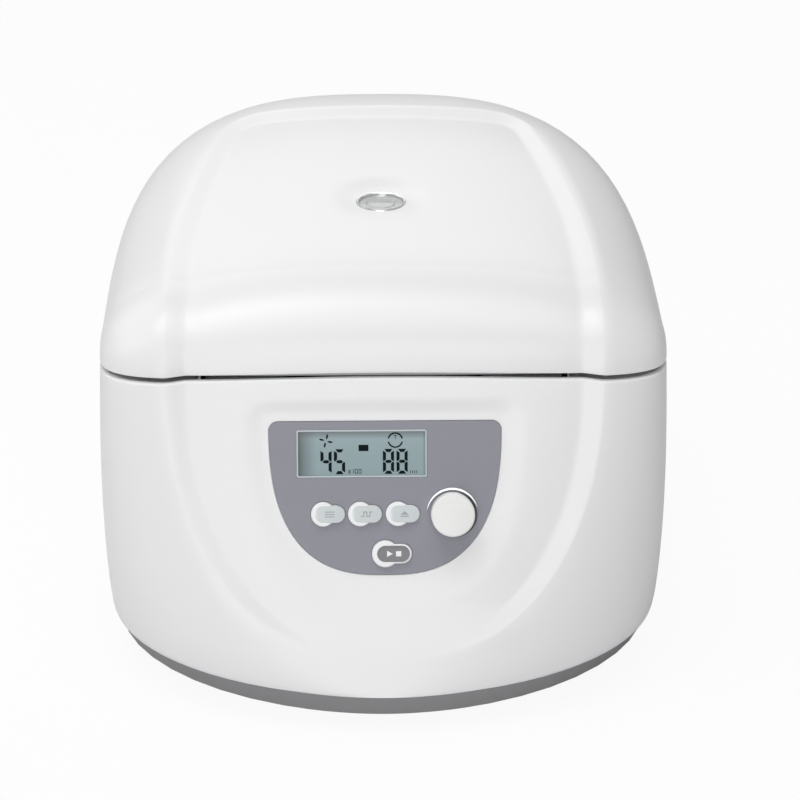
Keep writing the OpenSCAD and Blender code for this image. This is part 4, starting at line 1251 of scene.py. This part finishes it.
def make_floor():
    material = bpy.data.materials.new("floor_pale")
    material.use_nodes = True
    tree = material.node_tree
    shader = tree.nodes["Principled BSDF"]
    shader.inputs["Base Color"].default_value = (0.86, 0.86, 0.87, 1)
    shader.inputs["Roughness"].default_value = 0.9
    shader.inputs["Specular IOR Level"].default_value = 0.1
    glow = tree.nodes.new("ShaderNodeEmission")
    glow.inputs["Color"].default_value = (1, 1, 1, 1)
    path = tree.nodes.new("ShaderNodeLightPath")
    share = add_math(tree, "MULTIPLY", path.outputs["Is Camera Ray"], FLOOR_GLOW)
    blend = tree.nodes.new("ShaderNodeMixShader")
    tree.links.new(share, blend.inputs["Fac"])
    tree.links.new(shader.outputs["BSDF"], blend.inputs[1])
    tree.links.new(glow.outputs["Emission"], blend.inputs[2])
    tree.links.new(blend.outputs["Shader"], tree.nodes["Material Output"].inputs["Surface"])
    return material


floor_points = [(x * FLOOR_REACH, y * FLOOR_REACH, 0) for x, y in ((-1, -1), (1, -1), (1, 1), (-1, 1))]
floor = object_from("floor", floor_points, [(0, 1, 2, 3)], make_floor())
floor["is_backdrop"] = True
print("floor:", 2 * FLOOR_REACH, "m wide")

# %% World
WORLD_STRENGTH = 0.18
MIRRORED_WHITE = 0.4


def make_world():
    world = bpy.data.worlds.new("studio")
    world.use_nodes = True
    tree = world.node_tree
    ambient = tree.nodes["Background"]
    ambient.inputs["Color"].default_value = (1, 1, 1, 1)
    ambient.inputs["Strength"].default_value = WORLD_STRENGTH
    white = tree.nodes.new("ShaderNodeBackground")
    white.inputs["Color"].default_value = (1, 1, 1, 1)
    white.inputs["Strength"].default_value = 1.0
    path = tree.nodes.new("ShaderNodeLightPath")
    seen = add_math(tree, "MAXIMUM", path.outputs["Is Camera Ray"],
                    path.outputs["Is Transmission Ray"])
    mirrored = add_math(tree, "MULTIPLY", path.outputs["Is Glossy Ray"], MIRRORED_WHITE)
    seen = add_math(tree, "MAXIMUM", seen, mirrored)
    blend = tree.nodes.new("ShaderNodeMixShader")
    tree.links.new(seen, blend.inputs["Fac"])
    tree.links.new(ambient.outputs["Background"], blend.inputs[1])
    tree.links.new(white.outputs["Background"], blend.inputs[2])
    tree.links.new(blend.outputs["Shader"], tree.nodes["World Output"].inputs["Surface"])
    return world


bpy.context.scene.world = make_world()
print("world:", bpy.context.scene.world.name)

# %% [markdown]
# ## Lamps
# In the picture the lid is brightest, the front is softer, and the shadow is faint on all sides. A
# sun lamp would cut hard shadows. Seven large area lamps, all aimed at the machine, work like the
# soft boxes of a studio: two in front, two above, one at the left and two behind. The narrow one
# above gives the lid a sharper highlight. The Standard view shows colours as they are.

# %% Lamps
AIM = Vector((0, 0, 0.1))
LAMPS = {
    "front_lamp": ((0.0, -2.2, 1.4), (1.5, 1.0), 10),
    "low_front_lamp": ((-0.3, -2.05, 0.42), (1.2, 0.6), 6.5),
    "top_lamp": ((0.0, -0.4, 2.0), (1.6, 1.2), 11.5),
    "narrow_top_lamp": ((-0.6, -0.2, 2.1), (0.5, 1.2), 7.8),
    "left_lamp": ((-2.0, -0.5, 1.6), (1.4, 1.0), 6.5),
    "rear_lamp": ((0.0, 1.7, 1.6), (1.8, 1.2), 8.6),
    "rear_left_lamp": ((-1.5, 0.8, 1.6), (1.2, 1.2), 4.5),
}
for name, (place, size, power) in LAMPS.items():
    data = bpy.data.lights.new(name, "AREA")
    data.shape = "RECTANGLE"
    data.size, data.size_y = size
    data.energy = power
    lamp = bpy.data.objects.new(name, data)
    bpy.context.scene.collection.objects.link(lamp)
    lamp.location = place
    lamp.rotation_euler = (AIM - Vector(place)).to_track_quat("-Z", "Y").to_euler()
bpy.context.scene.view_settings.view_transform = "Standard"
print("lamps:", len(bpy.data.lights))

# %% [markdown]
# ## Sizes
# A dressed piece must not grow past the true size of its part. This could be read off by eye, but a
# number is surer: the box of the dressed model is printed.

# %% Box of the dressed model
low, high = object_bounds()
print("visual box", [round(v, 4) for v in high - low])
